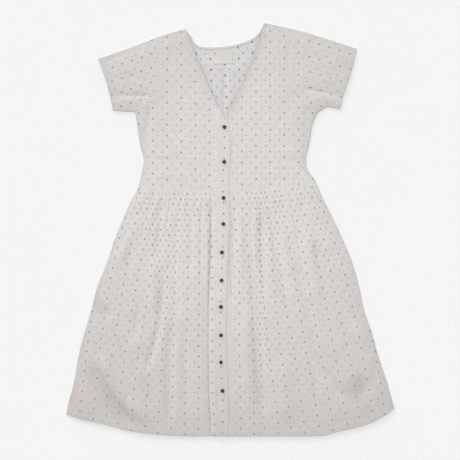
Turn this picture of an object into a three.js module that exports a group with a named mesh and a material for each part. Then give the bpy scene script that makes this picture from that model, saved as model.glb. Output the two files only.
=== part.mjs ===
// A short-sleeved cotton dress with a gathered skirt, buttoned down the front, laid flat on its back.
// Millimetres. X runs to the viewer's right, Y up the dress to the neck, Z up from the surface it lies on.
// The origin is under the middle of the dress, on that surface. Left and right are the viewer's.
import * as THREE from 'three';

// Cloth
const WALL = 1.2;                // thickness of one layer of cloth
const GAP = 0.3;                 // between layers and between pieces at a seam
const LAYER = WALL + GAP;        // rise from one layer to the one that lies on it
const PUFF = 3.2;                // air under the front, between its seams
const EDGE_PUFF = 1.2;           // the same at the hem, the cuffs and the V
const EDGE_REACH = 70;           // how far in from those edges the front begins to settle
const ROLL = 13;                 // width over which the front comes down to a side seam or shoulder

// Waist seam and gathers
const SEAM_RIDGE = 1.1;          // rise of the seam allowance pressed up inside the bodice
const SEAM_RIDGE_WIDTH = 9;
const GATHERS = 12;              // on each half of the front
const GATHER_RISE = 2.6;
const GATHER_LENGTH = 0.5;       // of the skirt's length, for the longest
const GATHER_UNEVENNESS = 1.7;   // radians from one gather to the next in its length and height

// Button bands, neck and label
const BAND_WIDTH = 29;
const BAND_TUCK = 3;             // how far the right front goes under the lapping edge
const BAND_BLEND = 16;           // the left front climbs to the upper band over this width
const BINDING_WIDTH = 6;
const BINDING_THICK = 1;
const LABEL_WIDTH = 40;
const LABEL_HEIGHT = 35;
const LABEL_THICK = 0.8;
const LABEL_TILT = 0.06;         // radians
const BUTTON_DIAMETER = 11;
const BUTTON_THICK = 2.4;
const BUTTON_DISH = 0.7;

// The sides of the dress from the armpit to the hem, at each height y
const SIDES = [
  { y: 294, left: -238, right: 219 },
  { y: 265, left: -234, right: 206 },
  { y: 215, left: -227, right: 197 },
  { y: 175, left: -217, right: 188 },
  { y: 150, left: -221, right: 193 },
  { y: 125, left: -226, right: 211 },
  { y: 98, left: -234, right: 223 },
  { y: 72, left: -249, right: 234 },
  { y: 40, left: -263, right: 251 },
  { y: -20, left: -288, right: 279 },
  { y: -80, left: -308, right: 304 },
  { y: -140, left: -332, right: 321 },
  { y: -200, left: -348, right: 334 },
  { y: -260, left: -366, right: 354 },
  { y: -320, left: -381, right: 371 },
  { y: -380, left: -391, right: 391 },
  { y: -440, left: -407, right: 408 },
];
const HEM_CORNER = { left: { x: -411, y: -463 }, right: { x: 411, y: -447 } };

// The hem and the waist seam from left to right
const HEM = [
  { x: -411, y: -463 }, { x: -374, y: -475 }, { x: -314, y: -488 }, { x: -254, y: -504 },
  { x: -160, y: -515 }, { x: -60, y: -517 }, { x: 126, y: -517 }, { x: 239, y: -515 },
  { x: 262, y: -508 }, { x: 344, y: -487 }, { x: 388, y: -464 }, { x: 411, y: -447 },
];
const WAIST = [
  { x: -234, y: 98 }, { x: -140, y: 100 }, { x: -43, y: 101 }, { x: 40, y: 102 },
  { x: 150, y: 108 }, { x: 217, y: 114 },
];

// Shoulders, from the neck out to the cuff
const LEFT_SHOULDER = [{ x: -113, y: 502 }, { x: -161, y: 489 }, { x: -182, y: 482 }];
const LEFT_SLEEVE_TOP = [{ x: -182, y: 482 }, { x: -244, y: 458 }, { x: -331, y: 427 }];
const RIGHT_SHOULDER = [{ x: 85, y: 517 }, { x: 147, y: 504 }, { x: 192, y: 493 }];
const RIGHT_SLEEVE_TOP = [{ x: 192, y: 493 }, { x: 224, y: 483 }, { x: 316, y: 453 }];

// Armholes, from the shoulder down to the armpit
const LEFT_ARMHOLE = [
  { x: -182, y: 482 }, { x: -184, y: 430 }, { x: -182, y: 372 }, { x: -187, y: 335 },
  { x: -207, y: 308 }, { x: -238, y: 294 },
];
const RIGHT_ARMHOLE = [
  { x: 192, y: 493 }, { x: 187, y: 440 }, { x: 183, y: 385 }, { x: 185, y: 346 },
  { x: 197, y: 315 }, { x: 219, y: 294 },
];

// Cuffs, from the shoulder side down, and undersides, from the armpit out
const LEFT_CUFF = [{ x: -331, y: 427 }, { x: -317, y: 389 }, { x: -302, y: 338 }, { x: -294, y: 298 }];
const LEFT_UNDERARM = [{ x: -238, y: 294 }, { x: -262, y: 296 }, { x: -294, y: 298 }];
const RIGHT_CUFF = [{ x: 316, y: 453 }, { x: 300, y: 389 }, { x: 287, y: 351 }, { x: 274, y: 301 }];
const RIGHT_UNDERARM = [{ x: 219, y: 294 }, { x: 244, y: 307 }, { x: 274, y: 301 }];

// Neck: the back neckline from left to right, and the two edges of the V down to the bands
const BACK_NECK = [
  { x: -113, y: 502 }, { x: -97, y: 481 }, { x: -85, y: 464 }, { x: -68, y: 458 }, { x: -36, y: 457 },
  { x: 0, y: 461 }, { x: 40, y: 472 }, { x: 63, y: 485 }, { x: 76, y: 500 }, { x: 85, y: 517 },
];
const LEFT_V = [
  { x: -113, y: 502 }, { x: -93, y: 454 }, { x: -70, y: 396 }, { x: -50, y: 352 }, { x: -32, y: 310 },
];
const RIGHT_V = [
  { x: 85, y: 517 }, { x: 74, y: 481 }, { x: 55, y: 423 }, { x: 26, y: 354 }, { x: -6, y: 293 },
];

// The heights at which the V cuts off the bands, at their inner and outer edges
const BAND_TOP = { over: { inner: 310, outer: 262 }, under: { inner: 238, outer: 292 } };

// The lapping edge of the upper band, at each height y
const LAP_EDGE = [
  { y: 310, x: -3 }, { y: 262, x: -3 }, { y: 220, x: -0.5 }, { y: 185, x: -0.5 }, { y: 125, x: -4.5 },
  { y: 65, x: -2.5 }, { y: 0, x: -3.5 }, { y: -80, x: -6.5 }, { y: -165, x: -9 }, { y: -280, x: -11 },
  { y: -350, x: -8 }, { y: -430, x: -5 }, { y: -517, x: -6 },
];

// Buttons: height up the band, and how far each lies to the side of its middle
const BUTTONS = [
  { y: 256, aside: 2.5 }, { y: 169, aside: 0.5 }, { y: 79, aside: 0 }, { y: 14, aside: 0 },
  { y: -57, aside: -1 }, { y: -127, aside: 0.5 }, { y: -193, aside: 0.5 }, { y: -264, aside: 2 },
  { y: -331, aside: -1 }, { y: -403, aside: 0.5 },
];

// Main folds. Each runs from (x0, y0) through a bend near (x1, y1) to (x2, y2). A trough has a negative rise.
// wide is its half width; fade is the share of its length over which each end dies away.
const FOLDS = [
  { x0: -48, y0: 92, x1: -54, y1: -110, x2: -54, y2: -330, rise: -5.5, wide: 9, fade: 0.16 },
  { x0: -53, y0: -300, x1: -54, y1: -410, x2: -47, y2: -540, rise: -4, wide: 8, fade: 0.2 },
  { x0: -34, y0: -395, x1: -33, y1: -430, x2: -20, y2: -480, rise: -2.2, wide: 8, fade: 0.35 },
  { x0: -80, y0: 70, x1: -84, y1: -120, x2: -84, y2: -330, rise: 3.2, wide: 17, fade: 0.3 },
  { x0: -118, y0: 60, x1: -112, y1: -110, x2: -116, y2: -320, rise: 3, wide: 20, fade: 0.3 },
  { x0: -172, y0: 80, x1: -178, y1: 0, x2: -184, y2: -90, rise: -4, wide: 11, fade: 0.25 },
  { x0: -178, y0: -110, x1: -183, y1: -215, x2: -202, y2: -320, rise: -4.5, wide: 11, fade: 0.25 },
  { x0: -194, y0: -60, x1: -187, y1: -130, x2: -196, y2: -210, rise: 3.4, wide: 11, fade: 0.35 },
  { x0: -150, y0: -215, x1: -168, y1: -350, x2: -160, y2: -500, rise: -4.2, wide: 12, fade: 0.25 },
  { x0: -116, y0: -250, x1: -112, y1: -370, x2: -106, y2: -470, rise: -2.2, wide: 13, fade: 0.35 },
  { x0: -330, y0: -300, x1: -312, y1: -410, x2: -216, y2: -480, rise: -6, wide: 18, fade: 0.3 },
  { x0: -312, y0: -275, x1: -284, y1: -400, x2: -180, y2: -466, rise: 6.5, wide: 15, fade: 0.3 },
  { x0: -352, y0: -150, x1: -330, y1: -196, x2: -290, y2: -224, rise: -3.4, wide: 11, fade: 0.35 },
  { x0: -232, y0: -200, x1: -246, y1: -250, x2: -236, y2: -300, rise: -2.6, wide: 11, fade: 0.4 },
  { x0: -210, y0: 66, x1: -254, y1: -30, x2: -290, y2: -110, rise: 3.6, wide: 14, fade: 0.35 },
  { x0: -292, y0: -236, x1: -262, y1: -262, x2: -218, y2: -262, rise: 3.4, wide: 14, fade: 0.4 },
  { x0: 10, y0: 80, x1: 4, y1: -80, x2: 4, y2: -200, rise: -3.4, wide: 9, fade: 0.3 },
  { x0: 46, y0: -20, x1: 56, y1: -230, x2: 80, y2: -530, rise: -5.6, wide: 12, fade: 0.3 },
  { x0: 32, y0: -180, x1: 40, y1: -320, x2: 50, y2: -480, rise: 3.4, wide: 16, fade: 0.35 },
  { x0: 76, y0: 40, x1: 82, y1: -60, x2: 86, y2: -190, rise: -4.4, wide: 11, fade: 0.3 },
  { x0: 114, y0: 60, x1: 132, y1: -120, x2: 176, y2: -330, rise: 4.2, wide: 15, fade: 0.3 },
  { x0: 134, y0: 20, x1: 150, y1: -270, x2: 254, y2: -404, rise: -3.8, wide: 13, fade: 0.3 },
  { x0: 186, y0: 40, x1: 196, y1: -90, x2: 236, y2: -210, rise: 3.2, wide: 15, fade: 0.35 },
  { x0: 204, y0: -50, x1: 236, y1: -190, x2: 318, y2: -270, rise: -4, wide: 13, fade: 0.3 },
  { x0: 232, y0: 70, x1: 300, y1: -80, x2: 354, y2: -290, rise: -2.4, wide: 7, fade: 0.2 },
  { x0: 296, y0: -366, x1: 318, y1: -398, x2: 336, y2: -430, rise: -5, wide: 26, fade: 0.45 },
  { x0: 284, y0: -474, x1: 320, y1: -440, x2: 352, y2: -396, rise: 5.4, wide: 12, fade: 0.35 },
  { x0: 130, y0: -300, x1: 132, y1: -400, x2: 146, y2: -510, rise: 3, wide: 20, fade: 0.35 },
  { x0: -198, y0: 330, x1: -206, y1: 260, x2: -220, y2: 180, rise: -2.2, wide: 9, fade: 0.3 },
  { x0: 186, y0: 322, x1: 194, y1: 260, x2: 190, y2: 200, rise: -2.2, wide: 9, fade: 0.3 },
  { x0: -316, y0: 338, x1: -254, y1: 334, x2: -190, y2: 336, rise: -3.6, wide: 9, fade: 0.2 },
  { x0: -330, y0: 414, x1: -296, y1: 430, x2: -250, y2: 444, rise: -2.8, wide: 8, fade: 0.3 },
  { x0: 180, y0: 352, x1: 232, y1: 344, x2: 292, y2: 330, rise: -3.8, wide: 9, fade: 0.2 },
  { x0: 200, y0: 486, x1: 206, y1: 470, x2: 212, y2: 446, rise: -2, wide: 8, fade: 0.4 },
];

// The shares of the back neckline between which the binding shows, and the middle of the label's top edge
const BINDING_FROM = 0.08;
const BINDING_TO = 0.9;
const LABEL_TOP = { x: -17, y: 450 };

// Grid fineness
const BODICE_ACROSS = 13;
const FIRST_COLUMN = 0.012;      // a narrow column beside the bands
const ARMHOLE_STEPS = 10;
const SIDE_SHARES = [0.14, 0.28, 0.42, 0.56, 0.7, 0.82, 0.91, 0.96, 1];
const SKIRT_ACROSS = GATHERS * 4;
const SKIRT_ROWS = [0, 0.02, 0.06, 0.12, 0.19, 0.27, 0.36, 0.45, 0.54, 0.63, 0.72, 0.8, 0.88, 0.95, 1];
const BACK_SHOULDER_STEPS = 2;
const BACK_NECK_STEPS = 10;
const BACK_SKIRT_ACROSS = 20;
const BACK_SKIRT_ROWS = 10;
const SLEEVE_ALONG = 8;
const BINDING_STEPS = 26;
const BUTTON_SIDES = 12;

// Numbers at even steps
function even(steps, from = 0, to = 1) {
  return Array.from({ length: steps + 1 }, (unused, i) => from + ((to - from) * i) / steps);
}

// Curves through a few points, followed by the share of their length from 0 to 1
function curve(points) {
  const spots = points.map((p) => new THREE.Vector3(p.x, p.y, 0));
  const along = new THREE.CatmullRomCurve3(spots, false, 'centripetal');
  return (t) => {
    const p = along.getPointAt(Math.min(Math.max(t, 0), 1));
    return { x: p.x, y: p.y };
  };
}

// Two curves with a corner between them, the first taking the share split
function joined(first, second, split) {
  return (t) => (t <= split ? first(t / split) : second((t - split) / (1 - split)));
}

function reversed(edge) {
  return (t) => edge(1 - t);
}

function shifted(edge, dx, dy) {
  return (t) => {
    const p = edge(t);
    return { x: p.x + dx, y: p.y + dy };
  };
}

// A column of a table as a smooth function of another, which rises or falls all the way
function column(rows, key, name) {
  const ordered = [...rows].sort((a, b) => a[key] - b[key]);
  const slope = ordered.map((row, i) => {
    const before = ordered[Math.max(i - 1, 0)];
    const after = ordered[Math.min(i + 1, ordered.length - 1)];
    return (after[name] - before[name]) / (after[key] - before[key]);
  });
  return (at) => {
    let i = 0;
    while (i < ordered.length - 2 && at > ordered[i + 1][key]) i += 1;
    const span = ordered[i + 1][key] - ordered[i][key];
    const t = Math.min(Math.max((at - ordered[i][key]) / span, 0), 1);
    const s = 1 - t;
    const start = ordered[i][name] * (1 + 2 * t) * s * s + slope[i] * span * t * s * s;
    return start + ordered[i + 1][name] * (3 - 2 * t) * t * t - slope[i + 1] * span * t * t * s;
  };
}

function smoothstep(a, b, at) {
  const t = Math.min(Math.max((at - a) / (b - a), 0), 1);
  return t * t * (3 - 2 * t);
}

// A panel's place from its four edges: a patch with u from the first to the second side, v from top to bottom
function patch(top, bottom, first, second) {
  const corner = { a: top(0), b: top(1), c: bottom(0), d: bottom(1) };
  const mix = (u, v, key) => (1 - v) * top(u)[key] + v * bottom(u)[key]
    + (1 - u) * first(v)[key] + u * second(v)[key]
    - (1 - u) * (1 - v) * corner.a[key] - u * (1 - v) * corner.b[key]
    - (1 - u) * v * corner.c[key] - u * v * corner.d[key];
  return (u, v) => ({ x: mix(u, v, 'x'), y: mix(u, v, 'y') });
}

const leftSideAt = column(SIDES, 'y', 'left');
const rightSideAt = column(SIDES, 'y', 'right');
const waistAt = column(WAIST, 'x', 'y');
const hemAt = column(HEM, 'x', 'y');
const lapAt = column(LAP_EDGE, 'y', 'x');

// A side seam between two heights, followed downwards
function side(at, from, to) {
  return (t) => {
    const y = from + (to - from) * t;
    return { x: at(y), y };
  };
}

// The lapping edge moved sideways, followed downwards
function lap(dx, from, to) {
  return (t) => {
    const y = from + (to - from) * t;
    return { x: lapAt(y) + dx, y };
  };
}

// Part of the waist or the hem between two places across
function across(at, from, to, dy) {
  return (t) => {
    const x = from + (to - from) * t;
    return { x, y: at(x) + dy };
  };
}

// The edges where front and back are joined or folded over, so the front comes down to the back there
function corners(edge, steps) {
  return even(steps).map(edge);
}
const ARMPIT = SIDES[0];
const joinedEdges = [
  corners(curve([...LEFT_SHOULDER, ...LEFT_SLEEVE_TOP.slice(1)]), 20),
  corners(curve([...RIGHT_SHOULDER, ...RIGHT_SLEEVE_TOP.slice(1)]), 20),
  corners(curve(LEFT_UNDERARM), 6),
  corners(curve(RIGHT_UNDERARM), 6),
  [...corners(side(leftSideAt, ARMPIT.y, SIDES[SIDES.length - 1].y), 50), HEM_CORNER.left],
  [...corners(side(rightSideAt, ARMPIT.y, SIDES[SIDES.length - 1].y), 50), HEM_CORNER.right],
];

const freeEdges = [HEM, LEFT_CUFF, RIGHT_CUFF, LEFT_V, RIGHT_V];

function distanceToLine(x, y, line) {
  let least = Infinity;
  for (let i = 0; i + 1 < line.length; i += 1) {
    const dx = line[i + 1].x - line[i].x;
    const dy = line[i + 1].y - line[i].y;
    const share = ((x - line[i].x) * dx + (y - line[i].y) * dy) / (dx * dx + dy * dy);
    const t = Math.min(Math.max(share, 0), 1);
    least = Math.min(least, Math.hypot(x - line[i].x - t * dx, y - line[i].y - t * dy));
  }
  return least;
}

// 0 at a joined edge and 1 past the width of the roll
function clearOfSeams(x, y) {
  const distance = Math.min(...joinedEdges.map((line) => distanceToLine(x, y, line)));
  return Math.sin((Math.PI / 2) * Math.min(distance / ROLL, 1));
}

// A fold's rise at a point
const FOLD_STEPS = 14;
function foldLine(fold) {
  return even(FOLD_STEPS).map((t) => {
    const bend = (a, b, c) => (1 - t) * (1 - t) * a + 2 * t * (1 - t) * b + t * t * c;
    return { x: bend(fold.x0, fold.x1, fold.x2), y: bend(fold.y0, fold.y1, fold.y2), t };
  });
}
const foldLines = FOLDS.map(foldLine);

function foldRise(fold, line, x, y) {
  let least = Infinity;
  let at = 0;
  for (let i = 0; i < FOLD_STEPS; i += 1) {
    const dx = line[i + 1].x - line[i].x;
    const dy = line[i + 1].y - line[i].y;
    const share = ((x - line[i].x) * dx + (y - line[i].y) * dy) / (dx * dx + dy * dy);
    const t = Math.min(Math.max(share, 0), 1);
    const distance = Math.hypot(x - line[i].x - t * dx, y - line[i].y - t * dy);
    if (distance < least) {
      least = distance;
      at = line[i].t + t / FOLD_STEPS;
    }
  }
  const ends = smoothstep(0, fold.fade, at) * smoothstep(0, fold.fade, 1 - at);
  return fold.rise * ends * Math.exp(-((least / fold.wide) ** 2));
}

// The height of the front's lowest layer above the surface, everywhere but in the gathers
function frontHeight(x, y) {
  const inward = Math.min(...freeEdges.map((line) => distanceToLine(x, y, line)));
  const air = EDGE_PUFF + (PUFF - EDGE_PUFF) * smoothstep(0, EDGE_REACH, inward);
  const folds = FOLDS.reduce((sum, fold, i) => sum + foldRise(fold, foldLines[i], x, y), 0);
  return LAYER + clearOfSeams(x, y) * Math.max(air + folds, 0);
}

// The left front climbs by one layer to lie level with the upper band
function leftFrontHeight(x, y) {
  const inner = lapAt(Math.min(y, BAND_TOP.over.inner)) - BAND_WIDTH;
  return frontHeight(x, y) + LAYER * smoothstep(inner - BAND_BLEND, inner, x) * smoothstep(360, 300, y);
}

// The waist seam's ridge, over the bodice's lower edge and the skirt's upper one; it dies away at the bands
function seamRidge(x, y) {
  const away = Math.abs(y - waistAt(x)) / SEAM_RIDGE_WIDTH;
  const fromBand = Math.max(x - lapAt(y), lapAt(y) - BAND_WIDTH - x);
  return SEAM_RIDGE * smoothstep(1.6, 0.6, away) * smoothstep(0, BAND_BLEND, fromBand);
}

// One gather after another across the skirt's top, each with its own length and height
function gather(u, v) {
  const place = u * GATHERS;
  const number = Math.min(Math.floor(place), GATHERS - 1);
  const own = 0.5 + 0.5 * Math.sin(number * GATHER_UNEVENNESS + 1);
  const length = GATHER_LENGTH * (0.35 + 0.65 * own);
  const wave = 0.5 - 0.5 * Math.cos(2 * Math.PI * (place - number));
  const ends = smoothstep(0, 1.5, place) * smoothstep(0, 1, GATHERS - place);
  return GATHER_RISE * (0.6 + 0.4 * own) * wave * ends * (1 - smoothstep(0, length, v));
}

// Faces between the points of a closed body, as pairs of triangles
function quad(faces, a, b, c, d) {
  faces.push(a, b, c, a, c, d);
}

function body(name, points, faces, look) {
  const geometry = new THREE.BufferGeometry();
  geometry.setAttribute('position', new THREE.Float32BufferAttribute(points.flat(), 3));
  geometry.setIndex(faces);
  geometry.computeVertexNormals();
  const mesh = new THREE.Mesh(geometry, new THREE.MeshStandardMaterial(look));
  mesh.name = name;
  return mesh;
}

// A panel of cloth: its lower and upper faces over the same plan, closed round its edges
function panel(name, place, us, vs, heightAt, thick, look) {
  const lower = [];
  const upper = [];
  for (const u of us) {
    for (const v of vs) {
      const { x, y } = place(u, v);
      const z = heightAt(x, y, u, v);
      lower.push([x, y, z]);
      upper.push([x, y, z + thick]);
    }
  }
  const rows = vs.length;
  const start = lower[0];
  const alongU = lower[rows];
  const alongV = lower[1];
  const turn = (alongU[0] - start[0]) * (alongV[1] - start[1])
    - (alongU[1] - start[1]) * (alongV[0] - start[0]);
  const faces = [];
  const put = (a, b, c, d) => (turn > 0 ? quad(faces, a, b, c, d) : quad(faces, d, c, b, a));
  const over = lower.length;
  for (let i = 0; i + 1 < us.length; i += 1) {
    for (let j = 0; j + 1 < rows; j += 1) {
      const a = i * rows + j;
      const b = a + rows;
      put(over + a, over + b, over + b + 1, over + a + 1);
      put(a, a + 1, b + 1, b);
    }
    const first = i * rows;
    const last = first + rows - 1;
    put(first, first + rows, over + first + rows, over + first);
    put(last + rows, last, over + last, over + last + rows);
  }
  const end = (us.length - 1) * rows;
  for (let j = 0; j + 1 < rows; j += 1) {
    put(j + 1, j, over + j, over + j + 1);
    put(end + j, end + j + 1, over + end + j + 1, over + end + j);
  }
  return body(name, [...lower, ...upper], faces, look);
}

// A sleeve laid flat: a tube with its fold at the top, its seam below and a thin slot inside.
// It is open at both ends.
function sleeve(name, place, alongs, rounds, heightAt, outward, look) {
  const points = [];
  const ring = 2 * rounds.length;
  for (const along of alongs) {
    const top = place(along, 0);
    const low = place(along, 1);
    const width = Math.hypot(top.x - low.x, top.y - low.y);
    const inset = (r) => WALL / width + r * (1 - 2 * (WALL / width));
    const outer = rounds.map((r) => place(along, r));
    const inner = rounds.map((r) => place(along, inset(r)));
    for (const p of outer) points.push([p.x, p.y, heightAt(p.x, p.y) + WALL]);
    for (const p of [...outer].reverse()) points.push([p.x, p.y, 0]);
    for (const p of inner) points.push([p.x, p.y, heightAt(p.x, p.y)]);
    for (const p of [...inner].reverse()) points.push([p.x, p.y, WALL]);
  }
  const faces = [];
  const put = (a, b, c, d) => (outward > 0 ? quad(faces, a, b, c, d) : quad(faces, d, c, b, a));
  const step = 2 * ring;
  for (let k = 0; k < ring; k += 1) {
    const next = (k + 1) % ring;
    for (let i = 0; i + 1 < alongs.length; i += 1) {
      const base = i * step;
      put(base + k, base + next, base + step + next, base + step + k);
      put(base + ring + next, base + ring + k, base + step + ring + k, base + step + ring + next);
    }
    const last = (alongs.length - 1) * step;
    put(k, ring + k, ring + next, next);
    put(last + next, last + ring + next, last + ring + k, last + k);
  }
  return body(name, points, faces, look);
}

const cloth = { color: 0xddd9d6, roughness: 0.9, metalness: 0 };
const clothBack = { color: 0xd9d8d8, roughness: 0.9, metalness: 0 };
const binding = { color: 0xdad7d2, roughness: 0.88, metalness: 0 };
const tape = { color: 0xe4dfd3, roughness: 0.8, metalness: 0 };
const horn = { color: 0x5a3219, roughness: 0.35, metalness: 0 };

// How far down its sides the bodice's armpits lie, in its own rows
const ARMPIT_ROW = ARMHOLE_STEPS / (ARMHOLE_STEPS + SIDE_SHARES.length);
const sideRows = SIDE_SHARES.map((t) => ARMPIT_ROW + t * (1 - ARMPIT_ROW));
const bodiceRows = [...even(ARMHOLE_STEPS, 0, ARMPIT_ROW), ...sideRows];
const bodiceColumns = [0, FIRST_COLUMN, ...even(BODICE_ACROSS).slice(1)];
const skirtColumns = [0, FIRST_COLUMN, ...even(SKIRT_ACROSS).slice(1)];
const HALF_GAP = GAP / 2;
const waistMiddle = waistAt(lapAt(WAIST[0].y));
const bodiceFoot = waistMiddle + HALF_GAP;
const skirtHead = waistMiddle - HALF_GAP;
const hemMiddle = hemAt(lapAt(HEM_CORNER.left.y));

function sideSeam(at, from, corner) {
  const last = SIDES[SIDES.length - 1].y;
  const share = (from - last) / (from - corner.y);
  return joined(side(at, from, last), curve([{ x: at(last), y: last }, corner]), share);
}

function frontBodice(name, shoulder, vEdge, bandEdge, armhole, sideEdge, heightAt) {
  const inner = joined(vEdge, bandEdge, ARMPIT_ROW);
  const outer = joined(armhole, sideEdge, ARMPIT_ROW);
  const waist = across(waistAt, inner(1).x, outer(1).x, HALF_GAP);
  const place = patch(shoulder, waist, inner, outer);
  const height = (x, y) => heightAt(x, y) + seamRidge(x, y);
  return panel(name, place, bodiceColumns, bodiceRows, height, WALL, cloth);
}

function frontSkirt(name, bandEdge, sideEdge, heightAt) {
  const waist = across(waistAt, bandEdge(0).x, sideEdge(0).x, -HALF_GAP);
  const hem = across(hemAt, bandEdge(1).x, sideEdge(1).x, 0);
  const place = patch(waist, hem, bandEdge, sideEdge);
  const height = (x, y, u, v) => heightAt(x, y) + clearOfSeams(x, y) * gather(u, v) + seamRidge(x, y);
  return panel(name, place, skirtColumns, SKIRT_ROWS, height, WALL, cloth);
}

const dress = new THREE.Group();
const LEFT_WAIST_Y = WAIST[0].y;
const RIGHT_WAIST_Y = WAIST[WAIST.length - 1].y;

// Bodice fronts
dress.add(frontBodice(
  'front_bodice_left',
  curve(LEFT_SHOULDER),
  shifted(curve(LEFT_V), -GAP, 0),
  lap(-BAND_WIDTH - GAP, BAND_TOP.over.inner, bodiceFoot),
  curve(LEFT_ARMHOLE),
  side(leftSideAt, ARMPIT.y, LEFT_WAIST_Y + HALF_GAP),
  leftFrontHeight,
));
dress.add(frontBodice(
  'front_bodice_right',
  curve(RIGHT_SHOULDER),
  curve(RIGHT_V),
  lap(-BAND_TUCK, BAND_TOP.under.outer, bodiceFoot),
  curve(RIGHT_ARMHOLE),
  side(rightSideAt, ARMPIT.y, RIGHT_WAIST_Y + HALF_GAP),
  frontHeight,
));

// Skirt fronts
dress.add(frontSkirt(
  'front_skirt_left',
  lap(-BAND_WIDTH - GAP, skirtHead, hemMiddle),
  sideSeam(leftSideAt, LEFT_WAIST_Y - HALF_GAP, HEM_CORNER.left),
  leftFrontHeight,
));
dress.add(frontSkirt(
  'front_skirt_right',
  lap(-BAND_TUCK, skirtHead, hemMiddle),
  sideSeam(rightSideAt, RIGHT_WAIST_Y - HALF_GAP, HEM_CORNER.right),
  frontHeight,
));

// Back bodice, flat on the surface
function backBodice() {
  const neck = curve(BACK_NECK);
  const total = 2 * BACK_SHOULDER_STEPS + BACK_NECK_STEPS;
  const neckFrom = BACK_SHOULDER_STEPS / total;
  const neckTo = 1 - neckFrom;
  const neckAndRight = joined(neck, curve(RIGHT_SHOULDER), (neckTo - neckFrom) / (1 - neckFrom));
  const top = joined(reversed(curve(LEFT_SHOULDER)), neckAndRight, neckFrom);
  const leftSide = side(leftSideAt, ARMPIT.y, LEFT_WAIST_Y + HALF_GAP);
  const left = joined(curve(LEFT_ARMHOLE), leftSide, ARMPIT_ROW);
  const rightSide = side(rightSideAt, ARMPIT.y, RIGHT_WAIST_Y + HALF_GAP);
  const right = joined(curve(RIGHT_ARMHOLE), rightSide, ARMPIT_ROW);
  const waist = across(waistAt, left(1).x, right(1).x, HALF_GAP);
  const place = patch(top, waist, left, right);
  return panel('back_bodice', place, even(total), bodiceRows, () => 0, WALL, clothBack);
}
dress.add(backBodice());

// Back skirt
function backSkirt() {
  const left = sideSeam(leftSideAt, LEFT_WAIST_Y - HALF_GAP, HEM_CORNER.left);
  const right = sideSeam(rightSideAt, RIGHT_WAIST_Y - HALF_GAP, HEM_CORNER.right);
  const waist = across(waistAt, left(0).x, right(0).x, -HALF_GAP);
  const hem = across(hemAt, left(1).x, right(1).x, 0);
  const place = patch(waist, hem, left, right);
  return panel('back_skirt', place, even(BACK_SKIRT_ACROSS), even(BACK_SKIRT_ROWS), () => 0, WALL, clothBack);
}
dress.add(backSkirt());

// Sleeves, each a step away from its armhole
function oneSleeve(name, top, underarm, armhole, cuff, outward) {
  const place = patch(curve(top), curve(underarm), shifted(curve(armhole), outward * GAP, GAP), curve(cuff));
  return sleeve(name, place, even(SLEEVE_ALONG), even(ARMHOLE_STEPS), frontHeight, outward, cloth);
}
dress.add(oneSleeve('sleeve_left', LEFT_SLEEVE_TOP, LEFT_UNDERARM, LEFT_ARMHOLE, LEFT_CUFF, -1));
dress.add(oneSleeve('sleeve_right', RIGHT_SLEEVE_TOP, RIGHT_UNDERARM, RIGHT_ARMHOLE, RIGHT_CUFF, 1));

// Button bands. Their columns are distances in from the lapping edge, the same where they lie together
const BAND_COLUMNS = [-BAND_WIDTH + 0.5, -20, -11, -BAND_TUCK - 2 * GAP];
// Their rows are those of the panels beside them, from the first at which both have their full width
const BAND_TOP_ROWS = 2;
const FULL_WIDTH_FROM = 2;
const besideBodice = SIDE_SHARES.slice(FULL_WIDTH_FROM);
const bandLevels = [
  ...besideBodice.map((t) => BAND_TOP.over.inner + t * (bodiceFoot - BAND_TOP.over.inner)),
  ...SKIRT_ROWS.map((t) => skirtHead + t * (hemMiddle - skirtHead)),
];

function band(name, columns, tops, lift) {
  const reach = [columns[0], columns[columns.length - 1]];
  const place = (u, v) => {
    const aside = columns[u];
    const slant = (aside - reach[0]) / (reach[1] - reach[0]);
    const cut = tops.inner + (tops.outer - tops.inner) * slant;
    const below = v - BAND_TOP_ROWS;
    const slanted = bandLevels[0] + (cut - bandLevels[0]) * (-below / BAND_TOP_ROWS);
    const y = below < 0 ? slanted : bandLevels[below];
    return { x: lapAt(y) + aside, y };
  };
  const height = (x, y) => frontHeight(x, y) + lift;
  const us = columns.map((aside, i) => i);
  const vs = Array.from({ length: BAND_TOP_ROWS + bandLevels.length }, (unused, i) => i);
  return panel(name, place, us, vs, height, WALL, cloth);
}
dress.add(band('placket_under', BAND_COLUMNS, BAND_TOP.under, 0));
dress.add(band('placket_over', [-BAND_WIDTH, ...BAND_COLUMNS, 0], BAND_TOP.over, LAYER));

// The strip inside the back neck, which ends where the fronts begin to cover it
function neckBinding() {
  const neck = curve(BACK_NECK);
  const small = 1e-3;
  const place = (u, v) => {
    const t = BINDING_FROM + u * (BINDING_TO - BINDING_FROM);
    const before = neck(t - small);
    const after = neck(t + small);
    const length = Math.hypot(after.x - before.x, after.y - before.y);
    const p = neck(t);
    const reach = (v * BINDING_WIDTH) / length;
    return { x: p.x + (after.y - before.y) * reach, y: p.y - (after.x - before.x) * reach };
  };
  return panel('neck_binding', place, even(BINDING_STEPS), [0, 1], () => LAYER, BINDING_THICK, binding);
}
dress.add(neckBinding());

// The bare neck label, hung from the strip
function neckLabel() {
  const place = (u, v) => {
    const dx = (u - 0.5) * LABEL_WIDTH;
    const dy = -v * LABEL_HEIGHT;
    return {
      x: LABEL_TOP.x + dx * Math.cos(LABEL_TILT) - dy * Math.sin(LABEL_TILT),
      y: LABEL_TOP.y + dx * Math.sin(LABEL_TILT) + dy * Math.cos(LABEL_TILT),
    };
  };
  return panel('neck_label', place, [0, 1], [0, 1], () => LAYER, LABEL_THICK, tape);
}
dress.add(neckLabel());

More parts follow.
